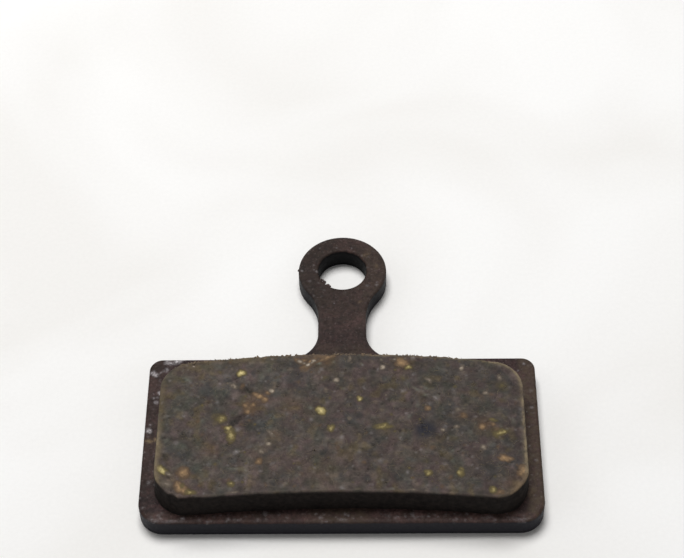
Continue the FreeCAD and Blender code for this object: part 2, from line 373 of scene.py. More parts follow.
class Graph:
    """Builds one material's nodes."""

    def __init__(self, name):
        self.material = bpy.data.materials.new(name)
        self.material.use_nodes = True
        self.tree = self.material.node_tree
        self.tree.nodes.clear()
        self.place = self.node("ShaderNodeTexCoord").outputs["Object"]

    def node(self, kind, **settings):
        """A new node with these settings."""
        made = self.tree.nodes.new(kind)
        for key, setting in settings.items():
            setattr(made, key, setting)
        return made

    def put(self, socket, source):
        """Links a socket to a source, or sets it to a number or colour."""
        if isinstance(source, bpy.types.NodeSocket):
            self.tree.links.new(source, socket)
        else:
            socket.default_value = source

    def noise(self, size, detail=3.0, roughness=0.55, distortion=0.0, shift=0.0):
        """Noise whose features are about this many millimetres across."""
        place = self.node("ShaderNodeMapping")
        self.put(place.inputs["Vector"], self.place)
        place.inputs["Location"].default_value = (shift * MM, shift * MM, shift * MM)
        made = self.node("ShaderNodeTexNoise")
        self.put(made.inputs["Vector"], place.outputs["Vector"])
        made.inputs["Scale"].default_value = PER_MM / size
        made.inputs["Detail"].default_value = detail
        made.inputs["Roughness"].default_value = roughness
        made.inputs["Distortion"].default_value = distortion
        return made.outputs["Fac"]

    def ramp(self, source, *stops):
        """Turns a number into a tone between stops of position and tone."""
        made = self.node("ShaderNodeValToRGB")
        self.put(made.inputs["Fac"], source)
        elements = made.color_ramp.elements
        while len(elements) < len(stops):
            elements.new(0.5)
        for element, (position, tone) in zip(elements, stops):
            element.position = position
            element.color = (tone, tone, tone, 1) if isinstance(tone, (int, float)) else (*tone, 1)
        return made.outputs["Color"]

    def mix(self, factor, first, second, blend="MIX"):
        """Two colours blended by a factor."""
        made = self.node("ShaderNodeMix", data_type="RGBA", blend_type=blend)
        self.put(made.inputs[0], factor)
        for socket, tone in ((made.inputs[6], first), (made.inputs[7], second)):
            self.put(socket, (*tone, 1) if isinstance(tone, tuple) else tone)
        return made.outputs[2]

    def sum(self, operation, first, second=0.0):
        """Two numbers put together by a math operation."""
        made = self.node("ShaderNodeMath", operation=operation)
        made.use_clamp = operation in ("ADD", "SUBTRACT")
        self.put(made.inputs[0], first)
        self.put(made.inputs[1], second)
        return made.outputs[0]

    def value(self, name):
        """One of the mesh's numbers a point."""
        return self.node("ShaderNodeAttribute", attribute_name=name).outputs["Fac"]

    def bump(self, height, strength, depth, normal=None):
        """Fine relief of this depth in millimetres, over an earlier normal."""
        made = self.node("ShaderNodeBump")
        made.inputs["Strength"].default_value = strength
        made.inputs["Distance"].default_value = depth * MM
        self.put(made.inputs["Height"], height)
        if normal is not None:
            self.put(made.inputs["Normal"], normal)
        return made.outputs["Normal"]

    def surface(self, color, roughness, normal=None, metallic=0.0, specular=0.5):
        """The finished material."""
        shader = self.node("ShaderNodeBsdfPrincipled")
        self.put(shader.inputs["Base Color"], (*color, 1) if isinstance(color, tuple) else color)
        self.put(shader.inputs["Roughness"], roughness)
        self.put(shader.inputs["Metallic"], metallic)
        shader.inputs["Specular IOR Level"].default_value = specular
        if normal is not None:
            self.put(shader.inputs["Normal"], normal)
        output = self.node("ShaderNodeOutputMaterial")
        self.put(output.inputs["Surface"], shader.outputs["BSDF"])
        return self.material


def friction_material():
    """Pressed compound: mauve, green-grey and olive matrix, flush grains, tan rim, dark walls."""
    graph = Graph("friction_compound")
    mauve = (0.083, 0.061, 0.058)
    green = (0.057, 0.057, 0.047)
    olive = (0.102, 0.078, 0.043)
    rust = (0.118, 0.073, 0.042)
    cool = (0.049, 0.050, 0.050)
    dark = (0.022, 0.020, 0.017)
    smear = (0.026, 0.026, 0.035)
    tan = (0.160, 0.124, 0.082)
    soft_marks = (
        ("fawn", (0.240, 0.185, 0.130)),
        ("moss", (0.170, 0.175, 0.140)),
        ("glint", (0.285, 0.260, 0.255)),
    )
    # Each kind of grain: its dim surround, body and bright middle
    kinds = (
        ("copper", (0.096, 0.063, 0.041), (0.162, 0.108, 0.066), (0.46, 0.295, 0.150)),
        ("brass", (0.082, 0.066, 0.036), (0.165, 0.130, 0.056), (0.74, 0.62, 0.29)),
        ("pale", (0.098, 0.080, 0.064), (0.160, 0.130, 0.102), (0.58, 0.49, 0.38)),
    )
    fine = graph.ramp(graph.noise(0.5, 4, 0.65, 1.0, shift=40), (0.36, 0.72), (0.62, 1.2))
    color = graph.mix(graph.value("blush"), green, mauve)
    for key, tone in (("cool", cool), ("olive", olive), ("rust", rust)):
        color = graph.mix(graph.sum("MULTIPLY", graph.value(key), fine), color, tone)
    color = graph.mix(1.0, color, graph.value("tone"), "MULTIPLY")
    mottle = graph.ramp(graph.noise(0.32, 2, 0.5, 1.0, shift=11), (0.26, 0.76), (0.74, 1.25))
    color = graph.mix(1.0, color, mottle, "MULTIPLY")
    for size, shift, thread_tone, amount in ((0.9, 52, tan, 0.09), (0.7, 66, dark, 0.18)):
        ridge = graph.noise(size, 3, 0.5, 1.4, shift=shift)
        thread = graph.ramp(ridge, (0.45, 0.0), (0.50, amount), (0.55, 0.0))
        color = graph.mix(thread, color, thread_tone)
    rusty = graph.ramp(graph.noise(0.3, 2, 0.6, 1.2, shift=120), (0.66, 0.0), (0.84, 0.14))
    color = graph.mix(rusty, color, rust)
    uneven = graph.ramp(graph.noise(0.22, 3, 0.6, 0.6, shift=63), (0.30, 0.62), (0.64, 1.15))
    for key, tone in soft_marks:
        color = graph.mix(graph.sum("MULTIPLY", graph.value(key), uneven), color, tone)
    # The dark marks also carry painted shade in the deeper pits
    color = graph.mix(graph.sum("MULTIPLY", graph.value("dark"), uneven), color, dark)
    color = graph.mix(graph.value("smear"), color, smear)
    for kind, halo, deep, bright in kinds:
        amount = graph.sum("MULTIPLY", graph.value(kind), uneven)
        color = graph.mix(graph.ramp(amount, (0.0, 0.0), (0.10, 0.8)), color, halo)
        color = graph.mix(graph.ramp(amount, (0.06, 0.0), (0.32, 0.95)), color, deep)
        color = graph.mix(graph.ramp(amount, (0.22, 0.0), (1.0, 1.0)), color, bright)
    broken = graph.ramp(graph.noise(0.5, 4, 0.7, 0.5, shift=55), (0.34, 0.25), (0.58, 1.0))
    edging = graph.mix(graph.value("golden"), (0.228, 0.180, 0.115), (0.24, 0.155, 0.092))
    color = graph.mix(graph.sum("MULTIPLY", graph.value("rim"), broken), color, edging)
    wall_mottle = graph.ramp(graph.noise(0.35, 3, 0.6), (0.35, 0.0), (0.7, 1.0))
    wall = graph.mix(wall_mottle, (0.0100, 0.0082, 0.0076), (0.0220, 0.0175, 0.0152))
    color = graph.mix(graph.value("side"), color, wall)
    normal = graph.bump(graph.noise(0.35, 3, 0.6, 0.8, shift=90), 0.35, 0.05)
    normal = graph.bump(graph.noise(0.12, 2, 0.5, 0.3, shift=5), 0.14, 0.012, normal)
    roughness = graph.ramp(graph.noise(0.4, 2, 0.5, shift=31), (0.3, 0.72), (0.7, 0.95))
    return graph.surface(color, roughness, normal, specular=0.08)


def plate_material():
    """Baked coating on steel: red-brown black, fine speckle, dust, scuffs, worn rolled edges with
    painted highlight, and painted shade in the pin hole.
    """
    graph = Graph("plate_coating")
    coat = (0.0432, 0.0238, 0.0222)
    deep = (0.0198, 0.0112, 0.0112)
    dust = (0.067, 0.048, 0.032)
    side = (0.0205, 0.0198, 0.0245)
    shaded = (0.0085, 0.0085, 0.0105)
    # Painted shade: near-black for the pin hole's wall
    bore = (0.0040, 0.0040, 0.0045)
    # Pale tone for scuffs and worn edges, also used as painted highlight on the rolled edges
    scuff_and_highlight = (0.30, 0.265, 0.27)
    color = graph.mix(graph.ramp(graph.noise(0.9, 4, 0.65, 0.4), (0.30, 0.0), (0.68, 1.0)), deep, coat)
    color = graph.mix(1.0, color, graph.value("tone"), "MULTIPLY")
    grain = graph.ramp(graph.noise(0.22, 3, 0.65, shift=14), (0.30, 0.50), (0.70, 1.7))
    color = graph.mix(1.0, color, grain, "MULTIPLY")
    dusty = graph.ramp(graph.noise(0.4, 4, 0.7, 0.5, shift=33), (0.35, 0.2), (0.62, 1.0))
    color = graph.mix(graph.sum("MULTIPLY", graph.value("dust"), dusty), color, dust)
    specks = graph.ramp(graph.noise(0.2, 2, 0.5, shift=80), (0.60, 0.0), (0.74, 0.55))
    color = graph.mix(specks, color, (0.108, 0.080, 0.074))
    walls = graph.mix(graph.value("tail"), side, shaded)
    color = graph.mix(graph.value("side"), color, walls)
    # Painted shade darkens the pin hole's wall
    color = graph.mix(graph.value("bore"), color, bore)
    patchy = graph.ramp(graph.noise(0.35, 4, 0.75, 0.6, shift=61), (0.36, 0.15), (0.60, 1.0))
    # Rolled edges paled: partly wear, partly painted highlight
    color = graph.mix(graph.sum("MULTIPLY", graph.value("edge_wear_and_highlight"), patchy), color, scuff_and_highlight)
    uneven = graph.ramp(graph.noise(0.16, 3, 0.6, shift=63), (0.34, 0.25), (0.60, 1.3))
    color = graph.mix(graph.sum("MULTIPLY", graph.value("scuff_and_highlight"), uneven), color, (0.54, 0.50, 0.51))
    color = graph.mix(graph.sum("MULTIPLY", graph.value("tan"), uneven), color, (0.22, 0.155, 0.085))
    normal = graph.bump(graph.noise(0.5, 3, 0.6, shift=3), 0.25, 0.03)
    normal = graph.bump(graph.noise(0.1, 3, 0.7, shift=9), 0.4, 0.014, normal)
    roughness = graph.ramp(graph.noise(0.3, 3, 0.6, shift=44), (0.3, 0.46), (0.7, 0.68))
    return graph.surface(color, roughness, normal, specular=0.09)


def grain_material(name, color, darker, roughness):
    """Loose fibres and crumbs in two tones."""
    graph = Graph(name)
    tone = graph.mix(graph.ramp(graph.noise(0.12, 3, 0.65), (0.35, 0.0), (0.65, 1.0)), darker, color)
    normal = graph.bump(graph.noise(0.06, 2, 0.6, shift=7), 0.4, 0.01)
    return graph.surface(tone, roughness, normal)


# Bare scuffs on the coating, and pale lines on the rolled foot edge that are partly wear, partly
# painted highlight: x, y, length, width, turn in degrees and strength
PLATE_SCUFFS_AND_HIGHLIGHTS = [
    (-12.95, -8.92, 0.70, 0.30, 165, 0.85),
    (-12.40, -8.86, 0.90, 0.26, 10, 0.95),
    (-14.15, -9.95, 0.40, 0.26, 140, 0.80),
    (-13.98, -10.10, 0.26, 0.24, 0, 0.75),
    (-13.62, -9.88, 0.70, 0.12, 35, 0.25),
    (-13.22, -9.62, 0.34, 0.20, 50, 0.50),
    (-13.56, -11.74, 0.26, 0.26, 0, 1.0),
    (-13.80, -12.60, 0.24, 0.20, 0, 0.50),
    (-14.00, -12.20, 0.20, 0.16, 0, 0.30),
    (-14.15, -15.15, 0.34, 0.30, 0, 0.95),
    (-14.10, -14.60, 0.18, 0.14, 0, 0.25),
    (-13.85, -19.60, 0.30, 0.20, 0, 0.18),
    # Pale lines along the rolled foot edge: partly wear, partly painted highlight
    (-13.80, -22.72, 0.50, 0.16, 160, 0.18),
    (-13.20, -22.84, 0.90, 0.14, 0, 0.18),
    (-12.10, -22.85, 0.90, 0.13, 0, 0.17),
    (-11.20, -22.66, 0.28, 0.24, 0, 0.45),
    (-5.40, -22.25, 0.30, 0.24, 0, 0.22),
    (-5.30, -22.72, 0.30, 0.16, 0, 0.16),
    (-1.45, -22.62, 0.30, 0.24, 60, 0.24),
    (0.05, -22.78, 0.70, 0.14, 0, 0.20),
    (4.00, -22.60, 0.40, 0.14, 0, 0.14),
    (7.35, -22.42, 0.40, 0.14, 60, 0.14),
    (10.50, -22.58, 0.34, 0.20, 0, 0.26),
    (10.86, -22.84, 0.30, 0.20, 0, 0.26),
    (12.70, -22.80, 1.40, 0.14, 4, 0.18),
    (-2.55, -1.10, 0.20, 0.16, 0, 0.16),
    (1.95, -1.60, 0.26, 0.18, 0, 0.14),
]
# Tan spots of compound dust on the coating
PLATE_STAINS = [
    (-14.10, -16.02, 0.44, 0.26, 0, 0.75),
    (-13.62, -15.92, 0.50, 0.24, 10, 0.85),
    (1.90, 1.60, 0.60, 0.30, 40, 0.25),
    (2.60, 0.40, 0.40, 0.30, 70, 0.25),
    (1.40, -3.20, 0.40, 0.24, 30, 0.25),
    (13.60, -20.60, 0.70, 0.40, 80, 0.22),
    (13.50, -18.00, 0.90, 0.40, 90, 0.16),
]


def margin_specks(rng):
    """Small seeded light specks: beside the block, on the eyelet, and thick along the foot."""
    spots = []
    while len(spots) < 200:
        x = rng.uniform(-PLATE_SIDE, PLATE_SIDE)
        y = rng.uniform(PLATE_FOOT, EYELET_RADIUS)
        if y < SHOULDER:
            shows = abs(x) > MARGIN_X or y < MARGIN_Y
        else:
            shows = math.hypot(x, y) < EYELET_RADIUS
        if shows:
            size = rng.uniform(0.10, 0.22)
            width = size * rng.uniform(0.6, 1)
            turn = rng.uniform(0, 180)
            spots.append((x, y, size, width, turn, 0.03 + 0.22 * rng.uniform() ** 3))
    for _ in range(110):
        x = rng.uniform(-13.6, 13.6)
        y = PLATE_FOOT + rng.uniform(0.10, 0.70)
        size = rng.uniform(0.10, 0.26)
        width = size * rng.uniform(0.5, 1)
        turn = rng.uniform(-30, 30)
        spots.append((x, y, size, width, turn, 0.04 + 0.22 * rng.uniform() ** 2))
    return spots


def sheared(flat, height):
    """Upright scratches and a slightly torn lower band on a wall, as blanking leaves them."""
    x, y = flat.T
    torn = float(ease(0.55, 0.2, height))
    along = layered_noise(x * 3 + y * 2.1, np.full(len(flat), height * 0.3), 0.5, 21, 2)
    rough = layered_noise(x + height, y - height, 0.22, 23, 3)
    return -0.006 + 0.006 * np.minimum(along, 0) + 0.012 * torn * np.minimum(rough, 0.3)


def plate_wall(builder, path_points, normals, hole=False):
    """A blanked wall from the back's broken edge to the rolled one: its loops, lowest first."""
    straight = [(0.0, z) for z in np.linspace(BACK_BREAK, PLATE_TOP - EDGE_ROLL, 11)]
    profile = [(-BACK_BREAK, 0.0)] + straight
    for angle in np.radians([18, 36, 54, 72, 90]):
        inset = EDGE_ROLL * (1 - math.cos(angle))
        profile.append((-inset, PLATE_TOP - EDGE_ROLL * (1 - math.sin(angle))))
    loops = []
    for offset, height in profile:
        flat = path_points + normals * offset
        flat = flat + normals * sheared(flat, height)[:, None]
        loops.append(builder.add(at_height(flat, height)))
    builder.bands(loops, hole)
    return loops


def plate_mesh(outline, normals):
    """The blanked plate with its pin hole and keying holes. The part under the block is coarse."""
    rng = np.random.default_rng(11)
    builder = Builder()
    walls = [plate_wall(builder, outline, normals)]
    bore, bore_normals = trace(circle_path(0, 0, BORE_RADIUS), OUTLINE_STEP)
    walls.append(plate_wall(builder, bore, -bore_normals, hole=True))
    for x in (-KEY_X, KEY_X):
        circle = trace(circle_path(x, KEY_Y, KEY_RADIUS), ROUND_STEP)[0]
        walls.append([builder.add(at_height(circle, z)) for z in (0.0, PLATE_TOP)])
        builder.bands(walls[-1], hole=True)

    place = builder.place()
    block_outline = trace(block_path(), 0.4)[0]
    for level, spacing, back in ((-1, PLATE_SPACING, False), (0, BACK_SPACING, True)):
        numbers = [wall[level] for wall in walls]
        loops = [place[index][:, :2] for index in numbers]
        points = inner_points(loops, spacing, rng)
        if not back:
            covered = inside(points, block_outline * (1 - 0.6 / BLOCK_SIDE) + [0, -0.6])
            coarse = inner_points(loops, HIDDEN_SPACING, rng)
            hidden = inside(coarse, block_outline * (1 - 1.0 / BLOCK_SIDE) + [0, -1.0])
            points = np.concatenate([points[~covered], coarse[hidden]])
        relief = layered_noise(points[:, 0], points[:, 1], 0.5, 31, 4)
        height = 0.004 + 0.003 * relief if back else PLATE_TOP - 0.006 - 0.007 * relief
        added = builder.add(at_height(points, height))
        builder.cover(np.concatenate(numbers + [added]), fill(loops, points), back)
    return builder


def coating_tone(x, y, tail, edge):
    """Brightness of the coating: blotches, darker neck, eyelet and left edge, and the strip in front of
    the block lightened as painted light against the block's shadow.
    """
    bands = value_noise(x, y, 1.3, 35) + value_noise(x, y, 0.62, 36) + 0.9 * value_noise(x, y, 0.32, 37)
    tone = np.exp(0.26 * bands)
    tone *= 1 - tail * (0.27 + 0.30 * ease(1.5, -2.2, x) * ease(-4.5, -2.5, y))
    tone *= 1 - 0.22 * tail * ease(0.45, 0.1, edge)
    tone *= 1 - 0.16 * ease(-13.0, -13.6, x) * (1 + ease(-18.6, -19.6, y) * ease(-22.4, -21.4, y))
    tone *= 1 - 0.45 * np.exp(-((x + 13.5) / 0.8) ** 2 - ((y + 9.4) / 0.5) ** 2)
    tone *= 1 - 0.14 * ease(13.0, 13.6, x) * ease(-16.0, -14.0, y) * (1 - tail)
    # Painted light: the strip in front of the block is lightened where the block's shadow falls
    tone *= 1 + (0.35 + 0.45 * ease(6.0, 9.0, x)) * ease(-22.0, -22.4, y)
    return tone


def coating_dust(x, y):
    """Brown dust: thick at the right, thin at the left, foot, neck and the eyelet's right side."""
    dust = 0.9 * ease(13.0, 13.5, x)
    dust += 0.2 * ease(-13.2, -13.5, x) * ease(-21.5, -19.5, y)
    dust += 0.25 * ease(0.5, 3.0, x) * ease(SHOULDER, -2.0, y)
    dust += 0.25 * ease(SHOULDER, -4.0, y)
    dust += 0.5 * ease(-6.6, -8.4, y) * ease(2.6, 1.6, np.abs(x))
    dust += 0.35 * ease(-21.9, -22.3, y)
    return np.clip(dust, 0, 1)


def plate_values(points, outline):
    """What the coating's material reads at each point."""
    x, y, z = points.T
    edge = distance_to(points[:, :2], outline)
    in_bore = np.hypot(x, y) < BORE_RADIUS + 0.05
    chipped = 0.05 * layered_noise(x, y, 0.5, 95, 3)
    rolled = np.exp(-((z - (PLATE_TOP - 0.05)) / 0.05) ** 2) * (edge < 0.24)
    front_edge = ease(PLATE_FOOT + 0.6, PLATE_FOOT + 0.2, y)
    left_front = front_edge * ease(-10.6, -11.4, x)
    # Rolled edges paled, most along the front and its left end: partly wear, partly painted highlight
    edge_wear_and_highlight = rolled * (0.10 * front_edge + 0.2 * left_front) + 0.06 * rolled * (y > SHOULDER)
    tail = ease(SHOULDER - 0.3, SHOULDER + 0.5, y)
    upper = z > PLATE_TOP - 0.3
    specks = margin_specks(np.random.default_rng(17))
    return {
        "side": ease(PLATE_TOP - 0.13, PLATE_TOP - 0.23, z + chipped) * ((edge < 0.12) | in_bore),
        "edge_wear_and_highlight": np.clip(edge_wear_and_highlight, 0, 1),
        "dust": coating_dust(x, y),
        "tone": coating_tone(x, y, tail, edge),
        "tail": tail,
        # Painted shade on the pin hole's wall, below its rolled edge
        "bore": in_bore * ease(PLATE_TOP - 0.02, PLATE_TOP - 0.12, z),
        # Scuffs and specks, with the foot edge's pale lines of wear and painted highlight
        "scuff_and_highlight": upper * paint(x, y, PLATE_SCUFFS_AND_HIGHLIGHTS + specks, 91),
        "tan": upper * paint(x, y, PLATE_STAINS, 93),
    }


def make_plate(material):
    outline, normals = trace(plate_path(), OUTLINE_STEP)
    builder = plate_mesh(outline, normals)
    points = builder.place()
    values = plate_values(points, outline)
    plate = finish_mesh("plate_steel_body", points, builder.faces, material, values)
    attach(plate, "root")
    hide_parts("backing_plate")
    return plate


# Places where the block's worn edge has broken away: x, y, reach along the edge and depth
BITES = [
    (-12.55, -21.45, 0.75, 0.17),
    (-11.80, -21.95, 0.40, 0.26),
    (-10.60, -22.30, 0.80, 0.12),
    (-12.98, -20.60, 0.25, 0.10),
    (-8.1, -10.05, 0.25, 0.05),
    (-3.6, -9.75, 0.20, 0.06),
    (-0.9, -9.65, 0.20, 0.07),
    (2.3, -9.65, 0.25, 0.05),
    (5.0, -22.1, 0.40, 0.05),
    (-5.9, -22.15, 0.35, 0.06),
    (12.60, -21.40, 0.90, 0.10),
]
# The gouge in the friction face: start, end, width and depth
GOUGE = ((-7.7, -16.3), (-6.2, -14.4), 0.13, 0.07)
# The dark smear: centre and radius
SMEAR = (6.05, -16.52, 0.72)


def face_height(x, y, edge):
    """Height of the worn friction face below its highest level: ground plateaus between pits."""
    felt = layered_noise(x, y, 0.42, 41, 4)
    broad = layered_noise(x, y, 2.4, 45, 3)
    pits = layered_noise(x, y, 0.3, 51, 3)
    height = -0.014 - 0.026 * np.maximum(-felt, -0.25) - 0.012 * np.maximum(broad, 0)
    height -= 0.09 * ease(0.42, 0.85, pits)
    (x0, y0), (x1, y1), width, depth = GOUGE
    length = math.hypot(x1 - x0, y1 - y0)
    along = ((x - x0) * (x1 - x0) + (y - y0) * (y1 - y0)) / length
    across = ((x - x0) * (y1 - y0) - (y - y0) * (x1 - x0)) / length + 0.25 * felt
    ends = ease(-0.2, 0.4, along) * ease(length + 0.2, length - 0.5, along)
    height -= depth * np.exp(-(across / width) ** 2) * ends
    smear_x, smear_y, smear_radius = SMEAR
    height -= 0.03 * hill(x, y, smear_x, smear_y, smear_radius ** 2)
    worn = 0.6 + 0.8 * np.maximum(0, layered_noise(x, y, 0.5, 57, 2))
    height -= 0.05 * np.exp(-edge / 0.2) * worn
    return height


# Grains ground flush with the friction face: x, y, length, width, turn in degrees and brightness
BRASS = [
    (-7.42, -11.47, 0.46, 0.34, 130, 1.0),
    (-8.70, -15.62, 0.56, 0.46, 95, 0.48),
    (-8.17, -16.40, 0.34, 0.30, 0, 0.78),
    (-7.96, -16.95, 0.95, 0.44, 108, 0.55),
    (-12.72, -19.98, 0.95, 0.40, 140, 0.70),
    (-1.50, -14.90, 0.60, 0.40, 115, 1.0),
    (1.37, -13.86, 0.34, 0.32, 0, 0.72),
    (2.90, -16.27, 1.05, 0.26, 174, 0.40),
    (3.15, -16.15, 0.36, 0.22, 10, 0.45),
    (4.90, -10.98, 0.36, 0.26, 20, 0.70),
    (11.42, -16.90, 0.80, 0.28, 25, 0.50),
    (11.72, -16.78, 0.26, 0.22, 40, 0.62),
    (6.20, -20.30, 0.40, 0.38, 0, 0.48),
    (8.38, -20.20, 0.56, 0.40, 95, 0.45),
    (10.68, -21.70, 0.46, 0.36, 80, 0.50),
    (-7.77, -21.07, 0.36, 0.32, 0, 0.40),
    (-10.55, -21.80, 0.60, 0.32, 155, 0.40),
    (-0.73, -16.45, 0.50, 0.28, 95, 0.50),
    (-11.15, -21.22, 0.40, 0.26, 60, 0.22),
    (-8.95, -11.40, 0.44, 0.24, 140, 0.15),
    (11.80, -12.70, 0.60, 0.50, 60, 0.15),
    (10.90, -15.75, 0.50, 0.20, 170, 0.32),
    (4.58, -12.05, 0.50, 0.34, 150, 0.16),
]
COPPER = [
    (-11.15, -20.10, 0.56, 0.52, 0, 0.70),
    (-11.36, -21.42, 0.64, 0.44, 150, 0.92),
    (-10.92, -21.68, 0.60, 0.36, 155, 0.78),
    (-6.67, -14.55, 0.70, 0.56, 90, 0.22),
    (-6.96, -14.35, 0.30, 0.26, 0, 0.50),
    (-6.42, -14.30, 0.30, 0.28, 0, 0.50),
    (-6.75, -14.90, 0.30, 0.26, 0, 0.60),
    (-6.26, -13.42, 0.36, 0.26, 160, 0.55),
    (-5.92, -13.60, 0.40, 0.26, 140, 0.72),
    (-5.60, -13.84, 0.38, 0.28, 80, 0.66),
    (-5.35, -13.22, 0.30, 0.24, 30, 0.50),
    (4.48, -10.62, 0.66, 0.40, 165, 0.68),
    (4.86, -10.80, 0.36, 0.24, 150, 0.50),
    (12.88, -20.15, 0.60, 0.46, 90, 0.65),
    (11.60, -19.05, 0.70, 0.28, 165, 0.75),
    (10.18, -16.36, 0.36, 0.30, 0, 0.65),
    (10.90, -16.15, 0.28, 0.24, 0, 0.40),
    (6.30, -14.65, 0.38, 0.32, 0, 0.55),
    (-0.90, -10.00, 1.30, 0.20, 25, 0.50),
    (-1.30, -10.05, 0.70, 0.30, 170, 0.32),
    (-2.30, -10.60, 0.90, 0.24, 45, 0.62),
    (-2.50, -10.80, 0.70, 0.40, 45, 0.25),
    (-3.12, -10.42, 0.60, 0.24, 145, 0.55),
    (-2.75, -10.35, 0.40, 0.20, 10, 0.40),
    (-2.60, -11.05, 0.44, 0.24, 60, 0.24),
    (-5.86, -19.25, 0.36, 0.32, 0, 0.50),
    (-7.28, -12.65, 0.40, 0.24, 60, 0.22),
    (8.86, -15.36, 0.40, 0.26, 150, 0.38),
    (11.10, -21.90, 0.60, 0.24, 175, 0.32),
]
PALE = [
    (0.63, -10.15, 0.62, 0.20, 85, 0.34),
    (-5.08, -13.10, 0.30, 0.28, 0, 1.0),
    (-7.83, -12.68, 0.50, 0.26, 138, 0.60),
    (-3.06, -10.45, 0.34, 0.18, 145, 0.85),
    (-2.06, -10.40, 0.28, 0.22, 60, 0.75),
    (-2.42, -10.74, 0.32, 0.19, 45, 0.85),
    (-2.20, -10.56, 0.22, 0.16, 40, 0.60),
    (-2.78, -10.62, 0.24, 0.16, 10, 0.50),
    (-0.38, -12.15, 0.36, 0.26, 20, 0.75),
    (3.04, -11.02, 0.32, 0.30, 0, 0.95),
    (8.82, -11.10, 0.44, 0.22, 100, 0.75),
    (-5.23, -17.70, 0.44, 0.32, 165, 0.66),
    (-4.94, -16.88, 0.95, 0.20, 143, 0.40),
    (10.13, -18.10, 0.34, 0.28, 0, 0.60),
    (10.53, -13.36, 0.34, 0.28, 80, 0.44),
    (8.44, -14.86, 0.34, 0.28, 0, 0.48),
    (7.30, -16.60, 0.32, 0.26, 30, 0.48),
    (8.30, -16.32, 0.34, 0.26, 40, 0.40),
    (3.92, -10.28, 0.26, 0.20, 0, 0.52),
    (2.75, -9.84, 0.24, 0.20, 0, 0.80),
    (-10.93, -10.85, 0.20, 0.16, 0, 0.50),
    (11.57, -12.00, 0.40, 0.24, 110, 0.45),
    (6.42, -12.20, 0.50, 0.22, 130, 0.46),
    (-5.70, -18.36, 0.32, 0.28, 0, 0.46),
    (-12.25, -21.08, 0.80, 0.50, 170, 0.34),
    (-12.18, -20.30, 0.62, 0.20, 155, 0.42),
    (5.10, -21.68, 0.60, 0.18, 5, 0.42),
    (-7.70, -21.86, 0.90, 0.16, 3, 0.36),
    (0.60, -15.57, 0.30, 0.26, 0, 0.36),
]
# Soft specks of white filler, tan and green-grey bits in the matrix, listed the same way
GLINT = [
    (-7.48, -18.40, 0.32, 0.30, 0, 0.80),
    (-7.48, -16.50, 0.30, 0.26, 0, 0.60),
    (-9.00, -14.10, 0.30, 0.24, 0, 0.45),
    (-1.46, -11.20, 0.30, 0.24, 0, 0.50),
    (0.02, -17.20, 0.26, 0.24, 0, 0.50),
    (0.14, -21.50, 0.32, 0.26, 0, 0.55),
    (4.54, -13.10, 0.30, 0.30, 0, 0.55),
    (5.30, -10.10, 0.44, 0.26, 110, 0.55),
    (6.90, -13.80, 0.44, 0.26, 130, 0.60),
    (4.70, -20.15, 0.30, 0.18, 100, 0.50),
    (2.80, -19.23, 0.36, 0.28, 20, 0.42),
    (4.26, -17.30, 0.26, 0.22, 0, 0.40),
    (-2.20, -15.60, 0.26, 0.24, 0, 0.48),
    (7.50, -16.27, 0.32, 0.22, 90, 0.35),
    (-8.50, -11.70, 0.60, 0.34, 150, 0.20),
    (8.20, -13.15, 0.44, 0.34, 60, 0.22),
]
FAWN = [
    (-2.62, -11.28, 0.50, 0.28, 20, 0.45),
    (-3.80, -11.10, 0.40, 0.24, 170, 0.35),
    (-4.92, -12.35, 0.50, 0.28, 60, 0.40),
    (-4.92, -12.75, 0.28, 0.24, 0, 0.40),
    (-1.17, -13.00, 0.44, 0.24, 90, 0.40),
    (0.67, -12.07, 0.30, 0.22, 60, 0.38),
    (0.58, -14.40, 0.28, 0.24, 0, 0.35),
    (2.50, -14.07, 0.36, 0.28, 0, 0.30),
    (2.92, -14.78, 0.32, 0.26, 0, 0.38),
    (-12.40, -11.40, 0.44, 0.26, 60, 0.35),
    (-11.20, -10.98, 0.80, 0.22, 20, 0.40),
    (-9.38, -11.50, 0.80, 0.26, 150, 0.25),
    (0.60, -18.30, 0.32, 0.22, 0, 0.35),
    (4.60, -18.05, 0.60, 0.22, 150, 0.30),
    (3.97, -18.50, 0.40, 0.24, 60, 0.28),
    (2.30, -20.36, 0.50, 0.34, 90, 0.30),
    (5.30, -21.15, 0.44, 0.26, 90, 0.30),
    (9.60, -15.65, 0.32, 0.24, 40, 0.35),
    (9.00, -14.44, 0.32, 0.16, 30, 0.30),
    (11.40, -15.15, 0.70, 0.20, 30, 0.30),
    (11.30, -20.48, 0.36, 0.28, 20, 0.35),
    (1.20, -21.62, 0.44, 0.20, 0, 0.35),
    (-1.00, -21.65, 0.50, 0.22, 0, 0.28),
    (-5.17, -10.20, 0.26, 0.20, 0, 0.35),
]
MOSS = [
    (-11.32, -12.08, 0.66, 0.16, 157, 0.60),
    (-10.17, -12.27, 0.60, 0.12, 145, 0.35),
    (-7.45, -19.82, 1.15, 0.15, 9, 0.48),
    (-10.10, -15.70, 0.22, 0.20, 0, 0.40),
    (-1.67, -10.60, 0.32, 0.26, 0, 0.80),
    (-2.17, -14.65, 0.32, 0.26, 0, 0.55),
    (1.50, -10.73, 0.26, 0.26, 0, 0.55),
    (5.45, -12.95, 0.56, 0.20, 150, 0.65),
    (5.96, -13.15, 0.26, 0.22, 0, 0.50),
    (6.20, -12.95, 0.40, 0.26, 0, 0.40),
    (6.12, -13.50, 0.36, 0.30, 0, 0.65),
    (4.88, -15.40, 0.32, 0.24, 0, 0.45),
    (6.05, -18.50, 0.50, 0.44, 90, 0.35),
    (3.55, -21.57, 0.50, 0.20, 0, 0.45),
    (12.40, -15.80, 0.44, 0.26, 90, 0.50),
    (5.50, -14.40, 0.40, 0.22, 70, 0.35),
]
